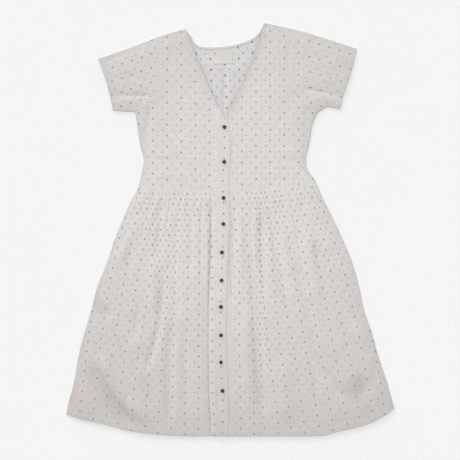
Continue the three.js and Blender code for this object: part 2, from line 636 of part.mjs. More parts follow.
// Buttons, dished on top, each lying on the upper band
function button(number, { y, aside }) {
  const r = BUTTON_DIAMETER / 2;
  const profile = [
    [0, 0], [0.82 * r, 0], [r, 0.35 * BUTTON_THICK], [r, 0.7 * BUTTON_THICK], [0.9 * r, BUTTON_THICK],
    [0.72 * r, BUTTON_THICK], [0.6 * r, BUTTON_THICK - BUTTON_DISH], [0, BUTTON_THICK - BUTTON_DISH],
  ];
  const geometry = new THREE.LatheGeometry(profile.map(([x, h]) => new THREE.Vector2(x, h)), BUTTON_SIDES);
  geometry.rotateX(Math.PI / 2);
  const mesh = new THREE.Mesh(geometry, new THREE.MeshStandardMaterial(horn));
  const x = lapAt(y) - BAND_WIDTH / 2 + aside;
  const turns = even(BUTTON_SIDES).map((t) => 2 * Math.PI * t);
  const rim = turns.map((a) => frontHeight(x + r * Math.cos(a), y + r * Math.sin(a)));
  const seat = Math.max(frontHeight(x, y), ...rim);
  mesh.position.set(x, y, seat + LAYER + WALL + GAP);
  mesh.name = `button_${String(number).padStart(2, '0')}`;
  return mesh;
}
BUTTONS.forEach((row, i) => dress.add(button(i + 1, row)));

export default dress;
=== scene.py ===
"""A short-sleeved cotton dress with a gathered skirt, buttoned down the front and laid flat on its back.

Everything is in metres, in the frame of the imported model: X to the viewer's right, Y up the dress to the
neck, Z up from the surface it lies on. Left and right are the viewer's. The tables are written in
millimetres and scaled once.
"""

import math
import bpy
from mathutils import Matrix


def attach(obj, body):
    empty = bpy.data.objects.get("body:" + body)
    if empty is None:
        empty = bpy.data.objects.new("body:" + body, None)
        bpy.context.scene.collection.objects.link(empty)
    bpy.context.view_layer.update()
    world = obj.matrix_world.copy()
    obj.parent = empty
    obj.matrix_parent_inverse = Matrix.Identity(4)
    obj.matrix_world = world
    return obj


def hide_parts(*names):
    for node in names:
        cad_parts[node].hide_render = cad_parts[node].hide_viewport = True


bl_info = {
    "name": "Cotton dress laid flat",
    "version": (1, 0, 0),
    "blender": (4, 5, 0),
    "location": "3D Viewport > Sidebar > Dress",
    "description": "Makes the cloth, woven spots, seams, buttons and studio of a cotton dress laid flat",
    "category": "Object",
}

import bpy
import numpy as np
from bpy.props import FloatProperty, FloatVectorProperty, IntProperty, PointerProperty
from mathutils import Vector

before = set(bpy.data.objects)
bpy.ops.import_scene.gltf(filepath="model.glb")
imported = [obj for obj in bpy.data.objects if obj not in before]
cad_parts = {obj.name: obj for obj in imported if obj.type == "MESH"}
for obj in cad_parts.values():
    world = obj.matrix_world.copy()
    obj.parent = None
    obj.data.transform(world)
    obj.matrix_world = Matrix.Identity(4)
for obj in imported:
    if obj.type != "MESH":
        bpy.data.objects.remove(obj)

MM = 0.001


def mm(*rows):
    return np.array(rows, float) * MM


# The dress's plan

# The sides at each height: y, left x, right x
SIDES = mm(
    (294, -238, 219), (265, -234, 206), (215, -227, 197), (175, -217, 188), (150, -221, 193),
    (125, -226, 211), (98, -234, 223), (72, -249, 234), (40, -263, 251), (-20, -288, 279),
    (-80, -308, 304), (-140, -332, 321), (-200, -348, 334), (-260, -366, 354), (-320, -381, 371),
    (-380, -391, 391), (-440, -407, 408),
)
LEFT_HEM_CORNER = mm((-411, -463))[0]
RIGHT_HEM_CORNER = mm((411, -447))[0]
HEM = mm(
    (-411, -463), (-374, -475), (-314, -488), (-254, -504), (-160, -515), (-60, -517), (126, -517),
    (239, -515), (262, -508), (344, -487), (388, -464), (411, -447),
)
WAIST = mm((-234, 98), (-140, 100), (-43, 101), (40, 102), (150, 108), (217, 114))

# Shoulders and sleeve tops from the neck out, armholes from the shoulder down
LEFT_SHOULDER = mm((-113, 502), (-161, 489), (-182, 482))
LEFT_SLEEVE_TOP = mm((-182, 482), (-244, 458), (-331, 427))
RIGHT_SHOULDER = mm((85, 517), (147, 504), (192, 493))
RIGHT_SLEEVE_TOP = mm((192, 493), (224, 483), (316, 453))
LEFT_ARMHOLE = mm((-182, 482), (-184, 430), (-182, 372), (-187, 335), (-207, 308), (-238, 294))
RIGHT_ARMHOLE = mm((192, 493), (187, 440), (183, 385), (185, 346), (197, 315), (219, 294))
LEFT_CUFF = mm((-331, 427), (-317, 389), (-302, 338), (-294, 298))
RIGHT_CUFF = mm((316, 453), (300, 389), (287, 351), (274, 301))
LEFT_UNDERARM = mm((-238, 294), (-262, 296), (-294, 298))
RIGHT_UNDERARM = mm((219, 294), (244, 307), (274, 301))

# The back neckline from left to right, and the edges of the V down to the bands
BACK_NECK = mm(
    (-113, 502), (-97, 481), (-85, 464), (-68, 458), (-36, 457), (0, 461), (40, 472), (63, 485),
    (76, 500), (85, 517),
)
LEFT_V = mm((-113, 502), (-93, 454), (-70, 396), (-50, 352), (-32, 310))
RIGHT_V = mm((85, 517), (74, 481), (55, 423), (26, 354), (-6, 293))

# The lapping edge of the upper band: y, x. The heights at which the V cuts the bands: inner, outer
LAP_EDGE = mm(
    (310, -3), (262, -3), (220, -0.5), (185, -0.5), (125, -4.5), (65, -2.5), (0, -3.5), (-80, -6.5),
    (-165, -9), (-280, -11), (-350, -8), (-430, -5), (-517, -6),
)
OVER_BAND_TOP = mm((310, 262))[0]
UNDER_BAND_TOP = mm((238, 292))[0]
BAND_TUCK = 3 * MM

# Buttons: height up the band, distance aside from its middle; and how far each is tilted, in degrees
BUTTONS = mm(
    (256, 2.5), (169, 0.5), (79, 0), (14, 0), (-57, -1), (-127, 0.5), (-193, 0.5), (-264, 2), (-331, -1),
    (-403, 0.5),
)
BUTTON_TILTS = (6, 2, 8, -3, 4, -5, 3, 6, 38, -4)

LABEL_TOP = mm((-17, 450))[0]
LABEL_TILT = 0.06
BINDING_ENDS = (0.08, 0.9)

# Main folds: start, bend and end of the line; rise, half width; the share over which its ends die away
FOLDS = np.array((
    (-48, 92, -54, -110, -54, -330, -1.4, 9, 0.16),
    (-53, -300, -54, -410, -47, -540, -2.4, 8, 0.2),
    (-34, -395, -33, -430, -20, -480, -2.2, 8, 0.35),
    (-80, 70, -84, -120, -84, -330, 2.4, 17, 0.3),
    (-118, 60, -112, -110, -116, -320, 2.2, 20, 0.3),
    (-172, 80, -178, 0, -184, -90, -1.8, 9, 0.25),
    (-168, -100, -164, -250, -222, -372, -3.2, 9, 0.25),
    (-194, -60, -187, -130, -196, -210, 2.4, 12, 0.35),
    (-142, -215, -160, -350, -150, -500, -4.2, 11, 0.25),
    (-116, -250, -112, -370, -106, -470, -2.2, 13, 0.35),
    (-344, -320, -332, -436, -232, -504, -5, 22, 0.3),
    (-328, -292, -306, -420, -196, -486, 6.4, 15, 0.3),
    (-352, -150, -330, -196, -290, -224, -3.4, 11, 0.35),
    (-226, -180, -238, -230, -234, -270, -2.4, 9, 0.4),
    (-210, 66, -254, -30, -290, -110, 1.8, 15, 0.35),
    (-266, -276, -240, -298, -204, -288, 1.6, 16, 0.45),
    (10, 80, 4, -80, 4, -200, -3.4, 9, 0.3),
    (52, -20, 66, -230, 88, -530, -5.6, 12, 0.3),
    (32, -180, 40, -320, 50, -480, 3.4, 16, 0.35),
    (76, 40, 82, -60, 86, -190, -3.4, 10, 0.3),
    (124, 40, 138, -130, 210, -300, 3, 14, 0.3),
    (112, 30, 120, -240, 258, -402, -3.6, 12, 0.3),
    (186, 40, 196, -90, 236, -210, 3.2, 15, 0.35),
    (212, -20, 226, -130, 330, -262, -4.6, 12, 0.22),
    (232, 70, 300, -80, 354, -290, -2.4, 7, 0.2),
    (296, -366, 318, -398, 336, -430, -3.2, 26, 0.45),
    (300, -486, 330, -456, 356, -402, 0.7, 15, 0.35),
    (130, -300, 132, -400, 146, -510, 3, 20, 0.35),
    (-198, 330, -206, 260, -220, 180, -2.2, 9, 0.3),
    (186, 322, 194, 260, 190, 200, -2.2, 9, 0.3),
    (-316, 338, -254, 334, -190, 336, -1.8, 9, 0.2),
    (-330, 414, -296, 430, -250, 444, -2, 8, 0.3),
    (180, 352, 232, 344, 292, 330, -1.8, 9, 0.2),
    (200, 486, 206, 470, 212, 446, -2, 8, 0.4),
))

# Lesser creases of the front, in the same columns
CREASES = np.array((
    (-56, 60, -60, -60, -62, -190, 1.6, 5, 0.3),
    (-43, 60, -46, -60, -47, -190, 0.9, 4, 0.3),
    (-150, 296, -120, 250, -96, 214, -0.7, 5, 0.4),
    (-196, 250, -150, 236, -110, 240, -0.6, 6, 0.4),
    (150, 300, 120, 262, 96, 226, -0.7, 5, 0.4),
    (170, 220, 130, 206, 84, 210, -0.6, 6, 0.4),
    (-210, 182, -170, 170, -120, 172, -0.8, 6, 0.4),
    (182, 178, 140, 168, 100, 172, -0.8, 6, 0.4),
    (-214, 140, -160, 132, -90, 138, 0.7, 8, 0.4),
    (190, 140, 130, 134, 60, 140, 0.7, 8, 0.4),
    (-150, 470, -146, 430, -152, 390, -0.6, 6, 0.4),
    (150, 480, 146, 440, 150, 396, -0.6, 6, 0.4),
    (-318, 338, -256, 335, -178, 334, -1.6, 2.4, 0.2),
    (-230, 330, -196, 318, -174, 300, -1, 3, 0.35),
    (176, 354, 232, 345, 290, 332, -1.6, 2.4, 0.2),
    (252, 338, 268, 326, 276, 312, -1.2, 3, 0.35),
    (-306, 396, -262, 404, -206, 402, 0.5, 9, 0.4),
    (-300, 366, -256, 362, -200, 366, 0.6, 8, 0.35),
    (196, 420, 240, 414, 290, 408, 0.5, 9, 0.4),
    (190, 380, 234, 374, 288, 366, 0.6, 8, 0.35),
    (-268, 20, -300, -60, -322, -130, -1.3, 7, 0.35),
    (-300, -20, -330, -110, -350, -180, 1, 6, 0.4),
    (-150, 86, -152, 40, -163, -6, -1.8, 2.6, 0.3),
    (-168, 88, -176, 50, -184, 10, -0.8, 3, 0.3),
    (-130, 60, -136, -40, -140, -150, -1.3, 3.2, 0.35),
    (-98, 80, -98, -20, -100, -120, -1.2, 3, 0.35),
    (-72, 84, -75, 20, -74, -60, -1, 2.8, 0.35),
    (-232, 40, -256, -60, -262, -170, -0.9, 8, 0.35),
    (-380, -360, -350, -400, -318, -460, 1.2, 8, 0.4),
    (-76, 40, -76, -60, -74, -160, -1.1, 6, 0.3),
    (168, -70, 184, -190, 222, -262, -1.6, 9, 0.35),
    (-250, -380, -262, -430, -270, -486, -1.2, 7, 0.4),
    (24, 60, 26, -40, 30, -150, 1.4, 6, 0.35),
    (58, 60, 62, -30, 64, -130, 1.6, 6, 0.35),
    (98, 84, 108, -40, 116, -150, -1.4, 3, 0.35),
    (150, 88, 166, -20, 186, -110, -1.4, 3.2, 0.35),
    (74, 80, 77, 20, 82, -50, -1.1, 2.8, 0.35),
    (220, 20, 252, -90, 292, -190, 1.4, 7, 0.35),
    (260, -200, 300, -280, 366, -340, -1.6, 8, 0.4),
    (196, -280, 216, -360, 220, -450, -1.5, 8, 0.4),
    (90, -360, 98, -420, 102, -500, -1.2, 8, 0.4),
    (60, -130, 68, -300, 82, -510, -1.6, 3, 0.3),
    (219, -331, 254, -386, 290, -424, -2.2, 9, 0.35),
    (258, -196, 286, -236, 318, -262, -1.3, 5, 0.35),
    (370, -300, 350, -360, 372, -420, -1.4, 8, 0.4),
))

# Painted shade in the skirt's fold hollows, in the same columns, with a share in place of the rise
PAINTED_FOLD_SHADE = np.array((
    (-332, -320, -328, -434, -230, -484, 1.1, 19, 0.3),
    (-352, -176, -328, -204, -292, -214, 0.7, 11, 0.3),
    (-322, -130, -334, -152, -348, -186, 0.5, 7, 0.3),
    (-294, -256, -276, -290, -262, -330, 0.35, 6, 0.3),
    (-222, -350, -212, -390, -196, -440, 0.4, 11, 0.35),
    (-392, -372, -400, -410, -404, -448, 0.65, 10, 0.3),
    (328, -354, 322, -398, 314, -446, 1.1, 17, 0.25),
    (268, -400, 300, -412, 336, -388, 0.7, 10, 0.3),
))

# The sharp crease beside the left skirt's band: y, x, depth
BAND_CREASE = mm(
    (100, -47, 0.4), (60, -48, 1.6), (20, -49, 4.6), (-60, -51.5, 6), (-130, -54, 5.4), (-200, -55, 2.4),
    (-330, -54, 1.2), (-400, -53, 1.6), (-440, -51, 3.4), (-517, -47.5, 2.4),
)
CREASE_WIDTH = 2.1 * MM
TUCK = 3 * MM              # how far the cloth beside it leans over it, where it is 6 mm deep

# Soft folds of the back, seen from below, in the same columns
BACK_FOLDS = np.array((
    (-150, 70, -168, -60, -196, -210, 1.5, 9, 0.3),
    (-90, 80, -98, -80, -102, -260, 1.3, 8, 0.3),
    (-30, 80, -34, -90, -28, -220, 1.6, 9, 0.3),
    (34, 80, 44, -60, 50, -190, 1.2, 8, 0.3),
    (96, 70, 112, -100, 140, -280, 1.5, 10, 0.3),
    (160, 80, 190, -40, 230, -170, 1.3, 9, 0.3),
    (-240, -90, -284, -230, -300, -400, 1.6, 14, 0.35),
    (-60, -260, -70, -380, -62, -500, 1.5, 12, 0.35),
    (70, -240, 84, -380, 96, -500, 1.4, 13, 0.35),
    (240, -160, 276, -300, 330, -420, 1.5, 13, 0.35),
    (-190, 300, -120, 250, -30, 240, 1, 9, 0.35),
    (170, 290, 110, 246, 40, 236, 1, 9, 0.35),
    (-150, 440, -60, 400, 40, 408, 0.9, 12, 0.35),
    (-190, 170, -80, 150, 60, 156, 1, 10, 0.35),
))

# The pressed crease down the back, seen through the V, and the ease beside it
NECK_FOLDS = np.array((
    (-12, 424, -15, 350, -17, 240, -1.5, 3.4, 0.12),
    (-27, 430, -30, 350, -30, 250, 0.9, 10, 0.2),
    (6, 420, 0, 350, -5, 250, 1.1, 11, 0.2),
    (-60, 452, -46, 436, -30, 426, -0.5, 5, 0.3),
    (20, 456, 26, 436, 28, 412, -0.5, 6, 0.3),
))

WALL = 1.2 * MM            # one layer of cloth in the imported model
LAYER = 1.5 * MM           # from one of its layers to the next
UNDERSIDE = 0.3 * MM       # the outside of the back, over the surface
EDGE_PUFF = 1.2 * MM
EDGE_REACH = 70 * MM
ROLL = 13 * MM
EASE = 34 * MM             # how far in from a seam the front reaches its height
EDGE_ROLL = 0.6 * MM
SEAM_RIDGE = 0.2 * MM
SEAM_RIDGE_WIDTH = 9 * MM
BAND_BLEND = 16 * MM
CLIMB_START, CLIMB_END = 360 * MM, 300 * MM      # where down the V the left front climbs to the band
SOFTNESS = 1.1 * MM        # how gently a trough levels out over the back
GROOVE = 0.22 * MM
GROOVE_WIDTH = 1.3 * MM
# Gathers: how many on each half, their rise, and their length as a share of the skirt's
GATHER_LEVELS = ((12, 0.62, 0.5), (19, 0.3, 0.26), (31, 0.22, 0.12), (56, 0.12, 0.05))

# Settings


def metres(name, description, default, low, high):
    return FloatProperty(name=name, description=description, default=default, min=low, max=high,
                         unit="LENGTH", precision=5)


class DressSizes(bpy.types.PropertyGroup):
    """Sizes of the cloth and of what is sewn to it"""

    cloth: metres("Cloth", "Thickness of one layer of cotton", 0.00055, 0.0002, 0.001)
    puff: metres("Air", "Air under the front, between its seams", 0.0032, 0.0, 0.006)
    gather_rise: metres("Gathers", "Rise of the gathers under the waist seam", 0.0015, 0.0, 0.005)
    band_width: metres("Button band", "Width of the button bands", 0.029, 0.015, 0.04)
    hem_depth: metres("Hem", "Depth of the folded hem and cuffs", 0.014, 0.004, 0.04)
    facing: metres("Neck edge", "Width of the turned edge of the V", 0.0065, 0.003, 0.015)
    binding: metres("Binding", "Width of the strip inside the back neck", 0.006, 0.003, 0.01)
    spot_across: metres("Spot columns", "Distance between columns of woven spots", 0.0118, 0.006, 0.03)
    spot_along: metres("Spot rows", "Distance between spots of one column", 0.0274, 0.01, 0.06)
    spot_width: metres("Spot", "Width of one woven spot", 0.0038, 0.001, 0.008)
    spot_height: metres("Spot height", "Height of one woven spot", 0.0060, 0.001, 0.008)
    stitch: metres("Stitch", "Length of one machine stitch", 0.0024, 0.001, 0.005)
    label_width: metres("Label width", "Width of the bare neck label", 0.040, 0.01, 0.08)
    label_height: metres("Label height", "Height of the bare neck label", 0.035, 0.01, 0.08)
    button: metres("Button", "Diameter of a button", 0.0097, 0.006, 0.02)
    button_sides: IntProperty(name="Button sides", description="Faces round a button", default=48,
                              min=12, max=96)


def colour(name, description, default):
    return FloatVectorProperty(name=name, description=description, subtype="COLOR", size=3, min=0.0, max=1.0,
                               default=default)


class DressColours(bpy.types.PropertyGroup):
    """Colours of the cloth, threads, buttons and studio"""

    face: colour("Cotton", "Outside of the cotton", (0.694, 0.669, 0.649))
    reverse: colour("Cotton reverse", "Inside of the cotton", (0.672, 0.669, 0.661))
    underarm: colour("Underarm", "Cotton near the armpits", (0.66, 0.63, 0.58))
    # Painted shade: the cotton is darkened towards the hem, most at the skirt's lower corners, where less
    # light falls
    low: colour("Skirt corners", "Cotton at the lower corners of the skirt", (0.573, 0.545, 0.52))
    binding: colour("Binding", "Strip inside the back neck", (0.67, 0.65, 0.62))
    label: colour("Label", "Bare neck label", (0.66, 0.63, 0.58))
    teal: colour("Teal", "First woven thread", (0.165, 0.275, 0.295))
    pink: colour("Pale pink", "Second woven thread", (0.69, 0.455, 0.46))
    coral: colour("Coral", "Third woven thread", (0.64, 0.375, 0.335))
    teal_reverse: colour("Teal inside", "First woven thread, seen inside", (0.05, 0.20, 0.235))
    pink_reverse: colour("Pink inside", "Second woven thread, seen inside", (0.72, 0.45, 0.43))
    coral_reverse: colour("Coral inside", "Third woven thread, seen inside", (0.62, 0.27, 0.20))
    thread: colour("Sewing thread", "Stitches and buttonholes", (0.69, 0.67, 0.64))
    button: colour("Button", "Dark brown button", (0.115, 0.040, 0.011))
    button_thread: colour("Button thread", "Thread through the buttons", (0.075, 0.03, 0.012))
    floor: colour("Floor", "Studio floor", (0.878, 0.878, 0.878))


# Lines and forms in plan


def smooth(start, end, at):
    t = np.clip((at - start) / (end - start), 0, 1)
    return t * t * (3 - 2 * t)


def column(rows, value):
    """A table's column as a smooth function of its first one."""
    rows = rows[np.argsort(rows[:, 0])]
    key, to = rows[:, 0], rows[:, value]
    here = np.arange(len(rows))
    before, after = np.maximum(here - 1, 0), np.minimum(here + 1, len(rows) - 1)
    slope = (to[after] - to[before]) / (key[after] - key[before])

    def read(at):
        i = np.clip(np.searchsorted(key, at) - 1, 0, len(key) - 2)
        span = key[i + 1] - key[i]
        t = np.clip((at - key[i]) / span, 0, 1)
        s = 1 - t
        start = to[i] * (1 + 2 * t) * s * s + slope[i] * span * t * s * s
        return start + to[i + 1] * (3 - 2 * t) * t * t - slope[i + 1] * span * t * t * s

    return read


left_side_at = column(SIDES, 1)
right_side_at = column(SIDES, 2)
waist_at = column(WAIST, 1)
hem_at = column(HEM, 1)
lap_at = column(LAP_EDGE, 1)
crease_at = column(BAND_CREASE, 1)
crease_depth = column(BAND_CREASE, 2)


def run_of(line):
    """How far along a line each of its points lies."""
    return np.concatenate(([0], np.cumsum(np.hypot(*np.diff(line, axis=0).T))))


def points_on(line, run, at):
    """The points at given distances along a line."""
    return np.stack([np.interp(at, run, line[:, k]) for k in (0, 1)], -1)


def curve(points):
    """A curve through a few points, followed by the share of its length from 0 to 1."""
    ends = np.vstack((2 * points[0] - points[1], points, 2 * points[-1] - points[-2]))
    gap = np.hypot(*(np.diff(ends, axis=0)).T) ** 0.5
    t = np.linspace(0, 1, 41)[:, None]
    line = [points[:1]]
    for i in range(len(points) - 1):
        p0, p1, p2, p3 = ends[i:i + 4]
        d0, d1, d2 = gap[i:i + 3]
        out = ((p1 - p0) / d0 - (p2 - p0) / (d0 + d1) + (p2 - p1) / d1) * d1
        into = ((p2 - p1) / d1 - (p3 - p1) / (d1 + d2) + (p3 - p2) / d2) * d1
        line.append((p1 + out * t + (3 * (p2 - p1) - 2 * out - into) * t**2
                     + (2 * (p1 - p2) + out + into) * t**3)[1:])
    line = np.vstack(line)
    run = run_of(line)
    return lambda at: points_on(line, run, np.asarray(at) * run[-1])


def joined(first, second, split):
    """Two curves with a corner between them."""
    def edge(t):
        t = np.asarray(t, float)
        return np.where((t <= split)[..., None], first(np.minimum(t / split, 1)),
                        second(np.clip((t - split) / (1 - split), 0, 1)))
    return edge


def backwards(edge):
    return lambda t: edge(1 - np.asarray(t))


def moved(edge, dx):
    return lambda t: edge(t) + np.array((dx, 0.0))


def down(read, start, end, aside=0.0):
    """A side seam or the lapping edge, followed from one height to another."""
    def edge(t):
        y = start + (end - start) * np.asarray(t)
        return np.stack((read(y) + aside, y), -1)
    return edge


def across(read, start, end):
    """Part of the waist seam or the hem, followed from one side to the other."""
    def edge(t):
        x = start + (end - start) * np.asarray(t)
        return np.stack((x, read(x)), -1)
    return edge


def side_seam(read, start, corner):
    """A skirt's side from the waist to its corner, straight below the last height of the table."""
    last = SIDES[-1, 0]
    foot = np.array((read(last), last))
    share = (start - last) / (start - corner[1])
    return joined(down(read, start, last), curve(np.vstack((foot, corner))), share)


def patch(top, bottom, first, second):
    """Places over a panel from its four edges: u from the first side to the second, v from top to bottom."""
    a, b, c, d = top(0.0), top(1.0), bottom(0.0), bottom(1.0)

    def place(u, v):
        u, v = np.broadcast_arrays(np.asarray(u, float), np.asarray(v, float))
        s, t = u[..., None], v[..., None]
        return ((1 - t) * top(u) + t * bottom(u) + (1 - s) * first(v) + s * second(v)
                - (1 - s) * (1 - t) * a - s * (1 - t) * b - (1 - s) * t * c - s * t * d)

    return place


def nearest(x, y, lines):
    """The distance to the nearest of several lines."""
    least = np.full(np.shape(x), np.inf)
    for line in lines:
        for (x0, y0), (x1, y1) in zip(line[:-1], line[1:]):
            dx, dy = x1 - x0, y1 - y0
            t = np.clip(((x - x0) * dx + (y - y0) * dy) / max(dx * dx + dy * dy, 1e-12), 0, 1)
            least = np.minimum(least, (x - x0 - t * dx) ** 2 + (y - y0 - t * dy) ** 2)
    return np.sqrt(least)


def fold_rises(table, sharpness=0.0):
    """The folds of a table as lines, ready to be laid on cloth."""
    made = []
    for row in table:
        x0, y0, x1, y1, x2, y2, rise, wide = row[:8] * MM
        t = np.linspace(0, 1, 15)[:, None]
        line = (1 - t) ** 2 * (x0, y0) + 2 * t * (1 - t) * (x1, y1) + t * t * (x2, y2)
        made.append((line, rise, wide, row[8], sharpness if rise < 0 else 0.0))
    return made


def folds_at(x, y, folds):
    """The sum of the folds' rises at each point."""
    total = np.zeros(np.shape(x))
    for line, rise, wide, fade, sharpness in folds:
        reach = 3 * wide
        close = ((x > line[:, 0].min() - reach) & (x < line[:, 0].max() + reach)
                 & (y > line[:, 1].min() - reach) & (y < line[:, 1].max() + reach))
        if not close.any():
            continue
        px, py = x[close], y[close]
        least, at = np.full(px.shape, np.inf), np.zeros(px.shape)
        steps = len(line) - 1
        for i in range(steps):
            (x0, y0), (x1, y1) = line[i], line[i + 1]
            dx, dy = x1 - x0, y1 - y0
            t = np.clip(((px - x0) * dx + (py - y0) * dy) / (dx * dx + dy * dy), 0, 1)
            d = (px - x0 - t * dx) ** 2 + (py - y0 - t * dy) ** 2
            nearer = d < least
            least = np.where(nearer, d, least)
            at = np.where(nearer, (i + t) / steps, at)
        ends = smooth(0, fade, at) * smooth(0, fade, 1 - at)
        form = np.exp(-least / wide**2) + sharpness * np.exp(-least / (0.32 * wide) ** 2)
        total[close] += rise * ends * form
    return total


FRONT_FOLDS = fold_rises(FOLDS, 0.25) + fold_rises(CREASES)
UNDER_FOLDS = fold_rises(BACK_FOLDS)
PRESSED_FOLDS = fold_rises(NECK_FOLDS)
PAINTED_FOLD_SHADE_PLACES = fold_rises(PAINTED_FOLD_SHADE)

shares = np.linspace(0, 1, 51)
ARMPIT_Y, SIDE_END = SIDES[0, 0], SIDES[-1, 0]
LEFT_SIDE = np.vstack((down(left_side_at, ARMPIT_Y, SIDE_END)(shares), LEFT_HEM_CORNER))
RIGHT_SIDE = np.vstack((down(right_side_at, ARMPIT_Y, SIDE_END)(shares), RIGHT_HEM_CORNER))
SHOULDERS = [curve(np.vstack((LEFT_SHOULDER, LEFT_SLEEVE_TOP[1:])))(shares[::2]),
             curve(np.vstack((RIGHT_SHOULDER, RIGHT_SLEEVE_TOP[1:])))(shares[::2])]
UNDERARMS = [curve(LEFT_UNDERARM)(shares[::5]), curve(RIGHT_UNDERARM)(shares[::5])]
JOINED_EDGES = [*SHOULDERS, *UNDERARMS, LEFT_SIDE, RIGHT_SIDE]
FREE_EDGES = [HEM, LEFT_CUFF, RIGHT_CUFF, LEFT_V, RIGHT_V]
ARMHOLES = [curve(LEFT_ARMHOLE)(shares[::2]), curve(RIGHT_ARMHOLE)(shares[::2])]
HEM_LINE = across(hem_at, HEM[0, 0], HEM[-1, 0])(shares)
CUFFS = [curve(LEFT_CUFF)(shares[::2]), curve(RIGHT_CUFF)(shares[::2])]
V_EDGES = [curve(LEFT_V)(shares[::2]), curve(RIGHT_V)(shares[::2])]

# Heights


def seam_top(sizes):
    """The top of the front where it comes down to the back at a side seam or shoulder."""
    return UNDERSIDE + 2 * sizes.cloth + 0.1 * MM


def rumple(x, y):
    """Slight unevenness all over."""
    return 0.15 * MM * (np.sin(61 * x + 23 * y + 1.3) + np.sin(-37 * x + 71 * y + 0.4)
                        + 0.7 * np.sin(113 * x - 87 * y + 2.1) + 0.5 * np.sin(151 * x + 139 * y))


def front_top(x, y, sizes):
    """The outside of the front's lowest layer: air and folds between the seams, down to the back at them."""
    seam = nearest(x, y, JOINED_EDGES)
    inward = nearest(x, y, FREE_EDGES)
    air = EDGE_PUFF + (sizes.puff - EDGE_PUFF) * smooth(0, EDGE_REACH, inward)
    loft = air + folds_at(x, y, FRONT_FOLDS) + rumple(x, y)
    loft = (loft + np.sqrt(loft**2 + SOFTNESS**2)) / 2 - SOFTNESS / 8
    clear = smooth(-0.35 * EASE, EASE, seam) - smooth(-0.35 * EASE, EASE, 0) * np.exp(-seam / (3 * MM))
    roll = np.sqrt(1 - (1 - np.minimum(seam / EDGE_ROLL, 1)) ** 2)
    low = seam_top(sizes)
    return low + (LAYER + WALL - low) * roll + clear * np.maximum(loft, 0)


def seam_ridge(x, y, sizes):
    """The seam allowance pressed up inside the waist, with the seam sunk in it; it dies away at the bands."""
    away = np.abs(y - waist_at(x))
    from_band = np.maximum(x - lap_at(y), lap_at(y) - sizes.band_width - x)
    ridge = SEAM_RIDGE * smooth(1.6, 0.6, away / SEAM_RIDGE_WIDTH) * smooth(0, BAND_BLEND, from_band)
    return ridge - 0.3 * GROOVE * np.exp(-((away / GROOVE_WIDTH) ** 2))


def armhole_groove(x, y):
    distance = nearest(x, y, ARMHOLES)
    raised = 0.12 * MM * smooth(9.5 * MM, 6 * MM, distance)
    return raised - 0.7 * GROOVE * np.exp(-((distance / GROOVE_WIDTH) ** 2))


def folded_edge(x, y, lines, depth, rise):
    """The extra layers of a hem, a cuff or a turned edge."""
    distance = nearest(x, y, lines)
    return rise * smooth(depth + 1.5 * MM, depth - 1.5 * MM, distance)


def meet_band(x, y, sizes):
    """The left front's climb by one layer, to lie level with the upper band, and its dip at their seam."""
    inner = lap_at(np.minimum(y, OVER_BAND_TOP[0])) - sizes.band_width
    climb = LAYER * smooth(inner - BAND_BLEND, inner, x) * smooth(CLIMB_START, CLIMB_END, y)
    dip = GROOVE * np.exp(-(((x - inner) / GROOVE_WIDTH) ** 2)) * smooth(OVER_BAND_TOP[0], CLIMB_END, y)
    return climb - dip


def bodice_top(x, y, sizes, left):
    z = front_top(x, y, sizes) + seam_ridge(x, y, sizes) + armhole_groove(x, y)
    z = z + folded_edge(x, y, V_EDGES, sizes.facing, 0.2 * MM)
    over_waist = y - waist_at(x)
    pucker = 0.35 * MM * np.sin(x / (1.5 * MM) + 2 * np.sin(x * 90)) * smooth(14 * MM, 0, over_waist)
    z = z + pucker * smooth(0, 4 * MM, over_waist)
    return z + meet_band(x, y, sizes) if left else z


def gathers(u, v, turn):
    """Rise of the gathers as a share of the full one; u from the band out, v from the waist down."""
    rise = 0.0
    for level, (count, height, reach) in enumerate(GATHER_LEVELS):
        place = u * count + (0.32 * np.sin(u * count * 0.9 + turn + level) if level else 0.0)
        number = np.clip(np.floor(place), 0, count - 1)
        own = 0.5 + 0.5 * np.sin(number * 1.7 + 1 + level * 2.3 + (turn if level else 0))
        wave = 0.5 - 0.5 * np.cos(2 * math.pi * (place - np.floor(place)))
        length = reach * (0.35 + 0.65 * own)
        rise = rise + height * (0.6 + 0.4 * own) * wave**0.55 * (1 - smooth(0, length, v))
    return rise * smooth(0, 1.5 / 12, u) * smooth(0, 1 / 12, 1 - u)


def tucked(x, y):
    """The left skirt's plan, where the cloth beside the sharp crease leans over it."""
    away = np.maximum(crease_at(y) - x, 0) / (4 * MM)
    return np.stack((x + TUCK * crease_depth(y) / (6 * MM) * away * np.exp(1 - away), y), -1)


def skirt_top(x, y, u, v, sizes, left):
    clear = np.sin(math.pi / 2 * np.minimum(nearest(x, y, (LEFT_SIDE, RIGHT_SIDE)) / ROLL, 1))
    close = smooth(0, 0.045, v)
    rise = sizes.gather_rise * gathers(u, v, 0.7 if left else 2.9) * close
    z = front_top(x, y, sizes) + clear * rise + seam_ridge(x, y, sizes)
    z = z + folded_edge(x, y, (HEM_LINE,), sizes.hem_depth, 0.16 * MM)
    if left:
        z = z - crease_depth(y) * np.exp(-np.abs(x - crease_at(y)) / CREASE_WIDTH)
        z = np.maximum(z, back_under(x, y) + 2 * sizes.cloth + 0.15 * MM)
        z = z + meet_band(x, y, sizes)
    return z


def sleeve_top(x, y, sizes):
    z = front_top(x, y, sizes) + armhole_groove(x, y)
    return z + folded_edge(x, y, CUFFS, sizes.hem_depth, 0.18 * MM)


def band_top(x, y, sizes, lift, reach):
    """The outside of a button band; reach holds its edges, as distances in from the lapping edge."""
    aside = x - lap_at(y)
    edge = np.minimum(aside - reach[0], reach[1] - aside)
    rounded = 0.35 * MM * np.sqrt(1 - (1 - np.clip(edge / (0.9 * MM), 0, 1)) ** 2) - 0.35 * MM
    return front_top(x, y, sizes) + lift + rounded


def upper_band_reach(sizes):
    return -sizes.band_width, 0.0


